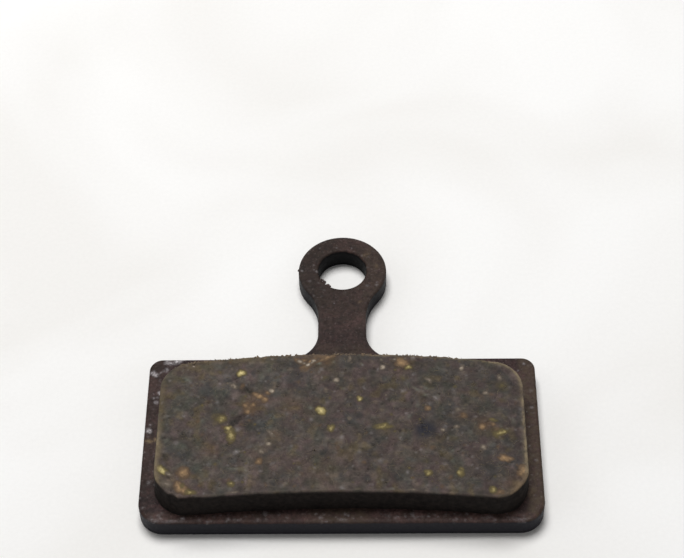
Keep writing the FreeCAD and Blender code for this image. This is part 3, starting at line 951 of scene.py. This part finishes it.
# Dark hollows and stains, listed the same way
DARK = [
    (-6.80, -13.03, 0.95, 0.26, 152, 1.0),
    (-7.05, -12.92, 0.50, 0.22, 160, 0.8),
    (-7.62, -15.72, 0.80, 0.24, 50, 1.0),
    (-7.38, -15.40, 0.60, 0.20, 46, 0.9),
    (-12.60, -18.72, 0.56, 0.44, 110, 1.0),
    (-12.45, -18.80, 0.40, 0.34, 20, 1.0),
    (-11.36, -16.88, 0.44, 0.36, 60, 0.95),
    (-8.67, -14.20, 0.36, 0.24, 90, 0.70),
    (-2.38, -13.57, 0.60, 0.44, 80, 0.45),
    (-9.54, -13.06, 0.34, 0.22, 90, 0.40),
    (-8.17, -12.20, 0.30, 0.20, 60, 0.45),
    (-11.45, -11.10, 0.34, 0.24, 30, 0.40),
    (-9.77, -21.45, 0.34, 0.24, 0, 0.40),
    (-12.25, -20.52, 0.70, 0.22, 150, 0.60),
    (-3.60, -19.80, 0.46, 0.22, 170, 0.45),
    (-0.75, -12.10, 0.30, 0.24, 0, 0.45),
    (-6.80, -16.30, 0.50, 0.36, 90, 0.32),
    (5.85, -10.80, 0.80, 0.26, 165, 0.65),
    (5.30, -11.20, 0.50, 0.14, 170, 0.45),
    (6.50, -12.70, 0.40, 0.20, 20, 0.60),
    (5.60, -12.55, 0.44, 0.22, 10, 0.55),
    (6.25, -13.80, 0.60, 0.24, 170, 0.70),
    (5.80, -13.60, 0.36, 0.34, 0, 0.55),
    (4.60, -17.45, 0.34, 0.24, 30, 0.50),
    (2.47, -18.65, 0.90, 0.36, 5, 0.45),
    (7.40, -19.15, 0.34, 0.30, 0, 0.45),
    (8.10, -12.57, 0.26, 0.20, 0, 0.55),
    (11.07, -12.60, 0.50, 0.24, 0, 0.55),
    (9.20, -15.50, 0.30, 0.24, 0, 0.50),
    (12.55, -17.50, 0.80, 0.36, 90, 0.45),
    (10.60, -20.30, 1.30, 0.90, 30, 0.35),
]
# Soft patches of tint: x, y, radius and strength
COOL_PATCHES = [
    (-5.75, -16.20, 0.85, 0.9),
    (-5.10, -15.40, 0.60, 0.6),
    (-12.35, -18.40, 0.50, 0.7),
    (-3.3, -11.6, 0.8, 0.5),
    (-8.3, -12.6, 0.9, 0.4),
    (1.9, -18.4, 0.7, 0.5),
    (10.7, -20.2, 0.8, 0.8),
    (12.1, -17.6, 0.5, 0.8),
    (12.0, -14.9, 0.4, 0.6),
    (7.6, -11.6, 0.6, 0.5),
]
GREEN_PATCHES = [
    (-11.3, -14.6, 1.4, 0.9),
    (-11.0, -17.4, 1.5, 1.0),
    (-9.8, -19.6, 1.2, 0.8),
    (-9.4, -12.9, 1.0, 0.7),
    (-5.6, -15.9, 1.3, 0.9),
    (-5.8, -11.7, 0.9, 0.6),
    (8.0, -14.0, 1.3, 0.7),
    (9.0, -20.4, 1.4, 0.8),
    (3.4, -12.4, 0.9, 0.6),
    (11.6, -13.0, 0.9, 0.6),
]
OLIVE_PATCHES = [
    (-5.6, -18.9, 1.0, 0.9),
    (-1.0, -20.2, 1.4, 0.8),
    (0.3, -18.6, 0.9, 0.6),
    (3.1, -16.4, 0.8, 0.8),
    (-2.0, -15.1, 0.7, 0.5),
    (-12.4, -20.5, 0.8, 0.9),
    (8.2, -20.0, 0.5, 0.4),
    (-11.3, -10.9, 0.9, 0.5),
    (-12.6, -12.2, 0.7, 0.4),
    (-10.0, -10.9, 0.7, 0.6),
    (6.4, -17.8, 0.8, 0.5),
    (5.0, -19.0, 0.9, 0.4),
]
RUST_PATCHES = [
    (10.25, -16.15, 0.60, 0.9),
    (11.20, -16.70, 0.50, 0.6),
    (-6.30, -13.80, 0.90, 0.6),
    (-6.80, -14.60, 0.50, 0.6),
    (-1.50, -10.20, 1.30, 0.5),
    (4.40, -10.75, 0.60, 0.8),
    (12.85, -20.40, 0.50, 0.9),
    (12.30, -21.20, 0.80, 0.6),
    (-11.10, -21.50, 0.50, 0.6),
    (-11.10, -20.12, 0.34, 0.6),
    (-9.40, -18.20, 0.80, 0.4),
    (8.60, -15.30, 0.60, 0.4),
    (-3.60, -14.20, 0.90, 0.4),
    (-4.80, -17.00, 0.50, 0.6),
]
LIGHT_PATCHES = [
    (-8.3, -12.2, 1.9, 1.0),
    (-9.0, -16.0, 1.6, 0.3),
    (-8.0, -20.6, 1.5, 0.4),
]


def scatter(rng, count, smallest, largest, faint, bright):
    """Seeded grains over the friction face, most of them small."""
    spots = []
    for _ in range(count):
        x = rng.uniform(-BLOCK_SIDE, BLOCK_SIDE)
        y = rng.uniform(BLOCK_FOOT, BLOCK_CROWN)
        size = smallest + (largest - smallest) * rng.uniform() ** 2
        width = size * rng.uniform(0.4, 1.0)
        turn = rng.uniform(0, 180)
        spots.append((x, y, size, width, turn, rng.uniform(faint, bright)))
    return spots


# Fragments of a grain: share of its strength, spread around its middle and size
FRAGMENTS = [
    (1.0, 0.10, 0.60),
    (0.72, 0.14, 1.10),
    (0.62, 0.34, 0.90),
    (0.55, 0.40, 0.85),
    (0.40, 0.46, 0.70),
]


def broken_up(spots, seed, swell):
    """Each larger grain as a bright core among dimmer overlapping fragments."""
    rng = np.random.default_rng(seed)
    fragments = []
    for x, y, length, width, turn, strength in spots:
        length, width = length * swell, width * swell
        if length < 0.22:
            fragments.append((x, y, length * 1.2, width * 1.2, turn, strength))
            continue
        cosine, sine = math.cos(math.radians(turn)), math.sin(math.radians(turn))
        for share, spread, largest in FRAGMENTS:
            along = rng.uniform(-spread, spread) * length
            across = rng.uniform(-spread, spread) * width
            part_x = x + along * cosine - across * sine
            part_y = y + along * sine + across * cosine
            size = largest * rng.uniform(0.8, 1.15)
            part_turn = turn + rng.uniform(-30, 30)
            part = (part_x, part_y, size * length, size * width * 1.2, part_turn, strength * share)
            fragments.append(part)
    return fragments


def paint(x, y, spots, seed, swell=1.0):
    """How strongly each point lies in one of the ragged, soft-edged spots."""
    total = np.zeros_like(x)
    ragged = 0.3 * layered_noise(x, y, 0.22, seed, 2)
    for spot_x, spot_y, length, width, turn, strength in broken_up(spots, seed, swell):
        near = np.flatnonzero((np.abs(x - spot_x) < length) & (np.abs(y - spot_y) < length))
        cosine, sine = math.cos(math.radians(turn)), math.sin(math.radians(turn))
        dx, dy = x[near] - spot_x, y[near] - spot_y
        along = (dx * cosine + dy * sine) / (length / 2)
        across = (dy * cosine - dx * sine) / (width / 2)
        reach = np.hypot(along, across) + ragged[near]
        total[near] = np.maximum(total[near], strength * ease(1.55, 0.1, reach))
    return np.clip(total, 0, 1)


def blobs(x, y, patches):
    """The strongest of some soft round patches at each point."""
    total = np.zeros_like(x)
    for spot_x, spot_y, radius, strength in patches:
        total = np.maximum(total, strength * hill(x, y, spot_x, spot_y, radius ** 2))
    return total


def banded_noise(x, y, layers):
    """A sum of noise layers: strength, cell, seed and shift along x or y for each."""
    total = np.zeros_like(x)
    for strength, cell, seed, shift_x, shift_y in layers:
        total += strength * value_noise(x + shift_x, y + shift_y, cell, seed)
    return total


# Noise that sets the matrix's brightness, its turn to olive or grey, and its turn to mauve
BRIGHTNESS = (
    (0.18, 2.3, 101, 0, 0),
    (0.42, 1.15, 102, 9, 0),
    (0.95, 0.6, 103, 0, 7),
    (0.90, 0.32, 104, 0, 0),
)
WARMTH = (
    (0.35, 2.6, 105, 0, 0),
    (0.70, 1.3, 106, 5, 0),
    (0.95, 0.65, 107, 0, 3),
    (0.50, 0.34, 111, 0, 0),
)
REDNESS = (
    (0.30, 2.4, 108, 0, 0),
    (0.60, 1.2, 109, 4, 0),
    (0.90, 0.6, 110, 0, 6),
    (0.50, 0.33, 112, 0, 0),
)


def matrix_tints(x, y):
    """Brightness and tint of the pressed compound, in soft blotches from 0.3 to 3 mm."""
    bands = banded_noise(x, y, BRIGHTNESS)
    warmth = banded_noise(x, y, WARMTH)
    redness = banded_noise(x, y, REDNESS)
    olive_patches = 0.6 * blobs(x, y, OLIVE_PATCHES) * (0.7 + 0.4 * warmth)
    olive = np.maximum(0.6 * ease(0.3, 1.3, warmth), olive_patches)
    left_band = ease(-12.5, -13.1, x) + ease(-10.9, -10.2, y) * ease(-3.0, -6.0, x)
    olive = np.maximum(olive, np.clip(0.40 + 0.35 * warmth, 0, 0.8) * left_band)
    # The smooth dark place right of the gouge
    smooth = np.exp(-(((x + 6.45) / 0.85) ** 2 + ((y + 16.3) / 0.95) ** 2) ** 2)
    tone = np.exp(0.165 * bands + 0.06 * np.maximum(bands, 0) ** 2) * (1 - 0.16 * smooth)
    # Painted light: the face is made lighter to the left and darker to the right
    tone *= (1 - 0.09 * x / BLOCK_SIDE) * (1 + 0.13 * blobs(x, y, LIGHT_PATCHES))
    cool = np.maximum(0.6 * ease(0.35, 1.3, -warmth), 0.8 * blobs(x, y, COOL_PATCHES))
    return {
        "tone": tone,
        "blush": np.clip(0.64 + 0.42 * redness - 0.4 * blobs(x, y, GREEN_PATCHES), 0, 1),
        "olive": np.clip(olive * (1 - 0.6 * smooth), 0, 1),
        "cool": np.clip(cool, 0, 1),
        "rust": np.clip(0.8 * blobs(x, y, RUST_PATCHES), 0, 1),
    }


def bite_depth(outline):
    """How far the worn edge has broken back at each point of the outline."""
    x, y = outline.T
    depth = np.zeros(len(outline))
    for bite_x, bite_y, reach, deep in BITES:
        depth = np.maximum(depth, deep * hill(x, y, bite_x, bite_y, reach ** 2))
    return depth * (1 + 0.30 * layered_noise(x, y, 0.40, 69, 3))


def block_walls(builder, outline, normals, bites):
    """The block's sides, from the squeezed-out foot to the worn rim: loops, lowest first."""
    x, y = outline.T
    far_edge = ease(-10.9, -10.3, y)
    worn_corner = bites * hill(x, y, -12.3, -21.5, 1.5)

    def ripple(flat, height):
        """Grainy wall, rough along the far edge and broken back where the bites are."""
        grain = layered_noise(flat[:, 0] + 1.3 * height, flat[:, 1] - 1.7 * height, 0.32, 63, 4)
        ragged = far_edge * ease(PLATE_TOP + 1.2, TOP_WALL, height)
        broken = bites * ease(TOP_WALL - 0.75, TOP_WALL + 0.1, height)
        corner = 0.75 * worn_corner * ease(PLATE_TOP - 0.4, TOP_WALL, height)
        rough = 0.028 * np.minimum(grain, 0.2) + 0.06 * ragged * np.minimum(grain, 0.3)
        return -0.012 + rough - np.maximum(broken, corner)

    loops = []
    squeeze = 0.03 + 0.07 * np.maximum(0, layered_noise(x, y, 0.9, 61, 3) + 0.3)
    for share, rise in ((1.0, SEAM), (0.72, 0.05), (0.3, 0.11)):
        flat = outline + normals * (squeeze * share)[:, None]
        loops.append(builder.add(at_height(flat, PLATE_TOP + rise)))
    for height in np.linspace(PLATE_TOP + 0.2, TOP_WALL, 15):
        flat = outline - normals * (height - PLATE_TOP) * DRAFT
        flat = flat + normals * ripple(flat, height)[:, None]
        loops.append(builder.add(at_height(flat, height)))
    low_right = hill(x, y, 12.7, -21.8, 1.3)
    rim_size = BLOCK_RIM * (1 + 1.3 * low_right + 0.3 * layered_noise(x, y, 0.8, 67, 3))
    for angle in np.radians([20, 40, 60, 80]):
        inset = (TOP_WALL - PLATE_TOP) * DRAFT + rim_size * (1 - math.cos(angle))
        height = TOP_WALL + BLOCK_RIM * math.sin(angle) - 0.02
        flat = outline - normals * inset[:, None]
        flat = flat + normals * ripple(flat, height)[:, None]
        loops.append(builder.add(at_height(flat, height - 0.2 * bites)))
    builder.bands(loops)
    return loops


# Marks of the friction face: listed ones, then count, sizes and strengths of the seeded ones
# among them, the seed of their ragged edges and how much they are swollen
MARKS = {
    "brass": (BRASS, (50, 0.12, 0.26, 0.06, 0.20), 81, 1.12),
    "copper": (COPPER, (60, 0.16, 0.40, 0.05, 0.14), 83, 1.15),
    "pale": (PALE, (60, 0.12, 0.26, 0.08, 0.26), 85, 0.9),
    "glint": (GLINT, (260, 0.16, 0.34, 0.05, 0.35), 87, 1.0),
    "fawn": (FAWN, (200, 0.18, 0.44, 0.05, 0.30), 86, 1.0),
    "moss": (MOSS, (160, 0.16, 0.40, 0.05, 0.35), 88, 1.0),
    "dark": (DARK, (260, 0.20, 0.50, 0.05, 0.40), 89, 1.35),
}


def block_face(builder, rim, outline, bites, rng):
    """The friction face inside the rim: the numbers of its points and their marks."""
    rim_loop = builder.place()[rim][:, :2]
    points = inner_points([rim_loop], BLOCK_SPACING, rng)
    edge = distance_to(points, rim_loop)
    x, y = points.T
    marks = {}
    for kind, (placed, seeded, seed, swell) in MARKS.items():
        marks[kind] = paint(x, y, placed + scatter(rng, *seeded), seed, swell)
    grain = np.maximum(np.maximum(marks["brass"], marks["copper"]), marks["pale"])
    relief = face_height(x, y, edge)
    relief = relief * (1 - 0.8 * np.minimum(1, 2.5 * grain)) - 0.02 * marks["dark"]
    relief += bites[nearest(points, outline)] * -0.2 * np.exp(-edge / 0.25)
    face = builder.add(at_height(points, FRICTION_FACE + relief))
    builder.cover(np.concatenate([rim, face]), fill([rim_loop], points))
    return face, marks


def block_back(builder, foot, rng):
    """The block's underside on the plate, and the bosses that fill the keying holes."""
    bosses = []
    for x in (-KEY_X, KEY_X):
        circle = trace(circle_path(x, KEY_Y, KEY_RADIUS - SEAM), ROUND_STEP)[0]
        boss = [builder.add(at_height(circle, z)) for z in (BOSS_END, PLATE_TOP + SEAM)]
        inner = inner_points([circle], ROUND_STEP, rng)
        dome = BOSS_END + 0.02 * layered_noise(inner[:, 0], inner[:, 1], 0.35, 71, 3)
        dome = np.clip(dome, BOSS_END - 0.03, BOSS_END + 0.05)
        end = builder.add(at_height(inner, dome))
        builder.cover(np.concatenate([boss[0], end]), fill([circle], inner), flip=True)
        builder.bands(boss)
        bosses.append(boss)
    place = builder.place()
    numbers = [foot] + [boss[1] for boss in bosses]
    loops = [place[index][:, :2] for index in numbers]
    inner = inner_points(loops, HIDDEN_SPACING, rng)
    added = builder.add(at_height(inner, PLATE_TOP + SEAM))
    builder.cover(np.concatenate(numbers + [added]), fill(loops, inner), flip=True)


def rim_values(x, y, z, edge):
    """How strongly the rubbed, lighter rim shows, and where it is golden."""
    line = np.exp(-((edge - 0.15) / 0.11) ** 2) * ease(TOP_WALL - 0.04, TOP_WALL + 0.08, z)
    band = np.exp(-((edge - 0.28) / 0.17) ** 2) * ease(TOP_WALL, TOP_WALL + 0.1, z)
    spread = np.exp(-(edge / 0.40) ** 2) * ease(TOP_WALL - 0.05, TOP_WALL + 0.1, z)
    wander = 0.75 + 0.5 * value_noise(x, y, 1.2, 97) + 0.25 * value_noise(x, y, 0.4, 98)
    top = ease(-10.7, -10.1, y)
    right = ease(10.0, 11.5, x) * ease(-21.0, -19.8, y)
    left = ease(-12.5, -13.0, x) * (0.25 + 0.75 * ease(-15.0, -18.0, y)) * (0.4 + 0.6 * wander)
    corner = hill(x, y, 12.5, -21.4, 1.5)
    strength = 0.12 + 1.6 * right + 0.6 * top * ease(4.0, 6.0, x)
    strength += 1.0 * top * ease(0.8, 1.4, x) * ease(4.4, 3.2, x)
    soft = 0.35 * top * ease(0.5, -1.0, x) + 0.15 * ease(12.4, 13.2, x)
    rim = wander * (line * strength + spread * soft + 0.32 * band * right)
    rim += 1.3 * corner * spread + (0.50 * line + 0.40 * band) * left
    golden = spread * (corner + np.exp(-((x + 0.6) / 2.2) ** 2) * ease(-10.6, -10.1, y))
    return np.clip(rim, 0, 1), np.clip(golden, 0, 1)


def block_values(points, outline, face, marks):
    """What the compound's material reads at each point."""
    x, y, z = points.T
    edge = distance_to(points[:, :2], outline)
    values = matrix_tints(x, y)
    values["rim"], values["golden"] = rim_values(x, y, z, edge)
    values["side"] = ease(TOP_WALL + 0.09, TOP_WALL - 0.05, z)
    for kind, strength in marks.items():
        values[kind] = np.zeros(len(points))
        values[kind][face] = strength
    on_face = z > FRICTION_FACE - 0.35
    # Painted shade: pits deeper than about 0.06 mm are darkened through the dark marks
    painted_pit_shade = ease(0.06, 0.16, FRICTION_FACE - z) * on_face * ease(0.25, 0.4, edge)
    values["dark"] = np.clip(np.maximum(values["dark"], 0.5 * painted_pit_shade), 0, 1)
    smear_x, smear_y, smear_radius = SMEAR
    reach = ((x - smear_x) / smear_radius) ** 2 + ((y - smear_y) / smear_radius) ** 2
    smear = np.exp(-reach ** 1.5) * (1.05 + 0.35 * value_noise(x, y, 0.4, 113))
    values["smear"] = np.clip(smear, 0, 1)
    return values


def make_block(material):
    rng = np.random.default_rng(12)
    builder = Builder()
    outline, normals = trace(block_path(), OUTLINE_STEP)
    bites = bite_depth(outline)
    walls = block_walls(builder, outline, normals, bites)
    face, marks = block_face(builder, walls[-1], outline, bites, rng)
    block_back(builder, walls[0], rng)
    points = builder.place()
    values = block_values(points, outline, face, marks)
    block = finish_mesh("friction_compound_body", points, builder.faces, material, values)
    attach(block, "root")
    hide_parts("friction_block")
    return block


def lump(rng, length, width, thickness):
    """One irregular grain: a ball of points, squashed, knobbly and ground flat on top."""
    rings, around = 5, 9
    theta = np.linspace(0, math.pi, rings + 2)[1:-1]
    phi = np.linspace(0, 2 * math.pi, around, endpoint=False)
    points = [(0, 0, 1)]
    for t in theta:
        points += [(math.sin(t) * math.cos(p), math.sin(t) * math.sin(p), math.cos(t)) for p in phi]
    points.append((0, 0, -1))
    points = np.array(points) * rng.uniform(0.78, 1.15, (len(points), 1))
    points *= np.array([length, width, thickness]) / 2
    points[:, 2] = np.minimum(points[:, 2], thickness * 0.16)
    turn = rng.uniform(0, math.pi)
    cosine, sine = math.cos(turn), math.sin(turn)
    rotate = np.array([[cosine, -sine, 0], [sine, cosine, 0], [0, 0, 1]])
    faces = [(0, 1 + i, 1 + (i + 1) % around) for i in range(around)]
    for ring in range(rings - 1):
        base = 1 + ring * around
        for i in range(around):
            j = (i + 1) % around
            faces.append((base + i, base + around + i, base + around + j, base + j))
    last = 1 + (rings - 1) * around
    end = len(points) - 1
    faces += [(last + i, end, last + (i + 1) % around) for i in range(around)]
    return points @ rotate.T, faces


def fibre(rng, start, heading, length, radius, bend, rise):
    """A bent three-sided thread."""
    steps = 6
    sides = 3
    centre = [np.array(start, float)]
    for _ in range(steps):
        heading += bend * rng.uniform(0.3, 1.0) / steps
        move = np.array([math.cos(heading), math.sin(heading), rise]) * length / steps
        centre.append(centre[-1] + move)
    across = np.array([-math.sin(heading), math.cos(heading), 0])
    upright = np.array([0, 0, 1])
    points = []
    for index, place in enumerate(centre):
        taper = 0.35 if index in (0, steps) else 1.0
        for k in range(sides):
            angle = 2 * math.pi * k / sides
            spoke = across * math.cos(angle) + upright * math.sin(angle)
            points.append(place + radius * taper * spoke)
    faces = []
    for index in range(steps):
        for k in range(sides):
            a = index * sides + k
            b = index * sides + (k + 1) % sides
            faces.append((a, b, b + sides, a + sides))
    faces.append(tuple(range(sides - 1, -1, -1)))
    faces.append(tuple(range(steps * sides, (steps + 1) * sides)))
    return np.array(points), faces


def make_fibres(material):
    """Short threads pressed into the face, and loose ends along the block's far edge."""
    rng = np.random.default_rng(14)
    outline, normals = trace(block_path(), 0.1)
    threads = []
    spots = [rng.uniform(-BLOCK_SIDE, BLOCK_SIDE, 1300), rng.uniform(BLOCK_FOOT, BLOCK_CROWN, 1300)]
    spots = np.column_stack(spots)
    spots = spots[inside(spots, outline) & (distance_to(spots, outline) > 0.8)]
    for x, y in spots:
        relief = face_height(np.array([x]), np.array([y]), np.array([1.0]))[0]
        start = (x, y, FRICTION_FACE + min(float(relief) + 0.004, -0.012))
        heading = rng.uniform(0, 6.28)
        length = rng.uniform(0.2, 0.7)
        radius = rng.uniform(0.009, 0.017)
        threads.append(fibre(rng, start, heading, length, radius, rng.uniform(-2.2, 2.2), -0.01))
    far = np.flatnonzero(outline[:, 1] > -10.9)
    for _ in range(60):
        index = rng.choice(far)
        x, y = outline[index] - normals[index] * rng.uniform(0.05, 0.3)
        outward = math.atan2(normals[index][1], normals[index][0])
        heading = outward + rng.uniform(-1.3, 1.3)
        start = (x, y, FRICTION_FACE - rng.uniform(0.03, 0.14))
        length = rng.uniform(0.08, 0.20)
        radius = rng.uniform(0.014, 0.024)
        bend = rng.uniform(-3.5, 3.5)
        threads.append(fibre(rng, start, heading, length, radius, bend, rng.uniform(-0.2, 0.02)))
    points, faces = merged(threads)
    points[:, 2] = np.minimum(points[:, 2], FRICTION_FACE)
    piece = finish_mesh("compound_fibres", points, faces, material)
    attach(piece, "root")
    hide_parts("friction_block")
    return piece


def make_edge_crumbs(material):
    """Loose grains that stand out along the far edge of the friction face."""
    rng = np.random.default_rng(16)
    outline, normals = trace(block_path(), 0.05)
    far = np.flatnonzero((outline[:, 1] > -11.6) & (np.abs(outline[:, 0] + 1.5) < 10.5))
    grains = []
    for _ in range(290):
        index = rng.choice(far)
        size = 0.07 + 0.26 * rng.uniform() ** 2
        x, y = outline[index] - normals[index] * (rng.uniform(0.04, 0.18) + 0.22 * size)
        grain, faces = lump(rng, size, size * rng.uniform(0.5, 1.0), size * 0.7)
        top = FRICTION_FACE - rng.uniform(0.0, 0.12)
        grains.append((grain + [x, y, top - grain[:, 2].max()], faces))
    piece = finish_mesh("compound_crumbs", *merged(grains), material)
    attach(piece, "root")
    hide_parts("friction_block")
    return piece


# Lumps of coating left on the eyelet: x, y, z, length and width
CRUMBS = [
    (-3.39, 0.13, 1.44, 0.20, 0.34),
    (-1.40, -1.06, 1.38, 0.40, 0.32),
    (-1.16, -1.34, 1.32, 0.40, 0.34),
    (-1.60, -0.84, 1.40, 0.30, 0.26),
    (-1.02, -1.50, 1.40, 0.30, 0.22),
]


def make_crumbs(material):
    rng = np.random.default_rng(15)
    grains = []
    for x, y, z, length, width in CRUMBS:
        grain, faces = lump(rng, length, width, 0.5 * min(length, width))
        grains.append((grain + [x, y, z], faces))
    points, faces = merged(grains)
    values = {"dust": np.full(len(points), 0.2), "tone": np.ones(len(points))}
    piece = finish_mesh("coating_crumbs", points, faces, material, values)
    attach(piece, "root")
    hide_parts("backing_plate")
    return piece


def make_floor():
    """Pale cloth for camera and glossy rays with painted shade of soft folds, and plain white far off,
    where no lamp reaches.
    """
    graph = Graph("floor_cloth")
    light = graph.node("ShaderNodeLightPath")
    seen = graph.sum("MAXIMUM", light.outputs["Is Camera Ray"], light.outputs["Is Glossy Ray"])
    # Painted shade of soft cloth folds
    painted_fold_shade = graph.ramp(graph.noise(24, 2, 0.5, 0.8, shift=4), (0.38, 0.0), (0.62, 1.0))
    cloth = graph.mix(painted_fold_shade, (0.985, 0.978, 0.964), (0.925, 0.910, 0.884))
    threads = graph.ramp(graph.noise(0.30, 2, 0.6, shift=9), (0.30, 0.975), (0.70, 1.0))
    cloth = graph.mix(1.0, cloth, threads, "MULTIPLY")
    color = graph.mix(seen, (0.80, 0.80, 0.80), cloth)
    material = graph.surface(color, 0.9, specular=0.1)
    nodes = material.node_tree.nodes
    links = material.node_tree.links
    output = next(node for node in nodes if node.type == "OUTPUT_MATERIAL")
    shaded = output.inputs["Surface"].links[0].from_socket
    span = graph.node("ShaderNodeVectorMath", operation="LENGTH")
    links.new(graph.node("ShaderNodeTexCoord").outputs["Object"], span.inputs[0])
    far = graph.ramp(span.outputs["Value"], (0.16, 0.0), (0.42, 1.0))
    white = graph.node("ShaderNodeEmission")
    white.inputs["Color"].default_value = (0.985, 0.976, 0.960, 1)
    either = graph.node("ShaderNodeMixShader")
    links.new(graph.sum("MULTIPLY", far, seen), either.inputs[0])
    links.new(shaded, either.inputs[1])
    links.new(white.outputs[0], either.inputs[2])
    links.new(either.outputs[0], output.inputs["Surface"])
    size = 1.5
    corners = [(-size, -size, 0), (size, -size, 0), (size, size, 0), (-size, size, 0)]
    mesh = bpy.data.meshes.new("floor")
    mesh.from_pydata(corners, [], [(0, 1, 2, 3)])
    mesh.materials.append(material)
    floor = bpy.data.objects.new("floor", mesh)
    bpy.context.scene.collection.objects.link(floor)


def make_lights():
    world = bpy.data.worlds.new("studio")
    bpy.context.scene.world = world
    world.use_nodes = True
    nodes = world.node_tree.nodes
    links = world.node_tree.links
    nodes.clear()
    path = nodes.new("ShaderNodeLightPath")
    seen = nodes.new("ShaderNodeMath")
    seen.operation = "MAXIMUM"
    links.new(path.outputs["Is Camera Ray"], seen.inputs[0])
    links.new(path.outputs["Is Glossy Ray"], seen.inputs[1])
    strength = nodes.new("ShaderNodeMapRange")
    strength.inputs["To Min"].default_value = 0.18
    strength.inputs["To Max"].default_value = 1.0
    links.new(seen.outputs[0], strength.inputs["Value"])
    background = nodes.new("ShaderNodeBackground")
    background.inputs["Color"].default_value = (1, 1, 1, 1)
    links.new(strength.outputs[0], background.inputs["Strength"])
    output = nodes.new("ShaderNodeOutputWorld")
    links.new(background.outputs[0], output.inputs["Surface"])
    for name, place, size, power in (
        ("key_softbox", (-0.04, 0.132, 0.383), 0.20, 1.46),
        ("side_softbox", (-0.32, 0.05, 0.20), 0.25, 0.09),
    ):
        lamp = bpy.data.lights.new(name, "AREA")
        lamp.size = size
        lamp.energy = power
        holder = bpy.data.objects.new(name, lamp)
        holder.location = place
        target = Vector((0, -0.013, 0))
        holder.rotation_euler = (target - Vector(place)).to_track_quat("-Z", "Y").to_euler()
        bpy.context.scene.collection.objects.link(holder)


def make_camera():
    """The photograph's view of the pad: from the foot's side, 51 degrees above the friction face."""
    camera = bpy.data.cameras.new("camera")
    camera.sensor_width = 36.0
    camera.lens = 95.84
    camera.clip_start = 0.005
    camera.clip_end = 10.0
    holder = bpy.data.objects.new("camera", camera)
    holder.location = (0.001871, -0.090532, 0.112221)
    holder.rotation_euler = [math.radians(angle) for angle in (39.012, 0.814, 0.209)]
    bpy.context.scene.collection.objects.link(holder)
    bpy.context.scene.camera = holder


bpy.context.scene.view_settings.view_transform = "Standard"
make_camera()
make_lights()
make_floor()
coating = plate_material()
make_plate(coating)
make_crumbs(coating)
make_block(friction_material())
make_fibres(grain_material("fibre", (0.15, 0.115, 0.07), (0.085, 0.066, 0.044), 0.8))
make_edge_crumbs(grain_material("crumb", (0.17, 0.115, 0.065), (0.055, 0.042, 0.032), 0.85))
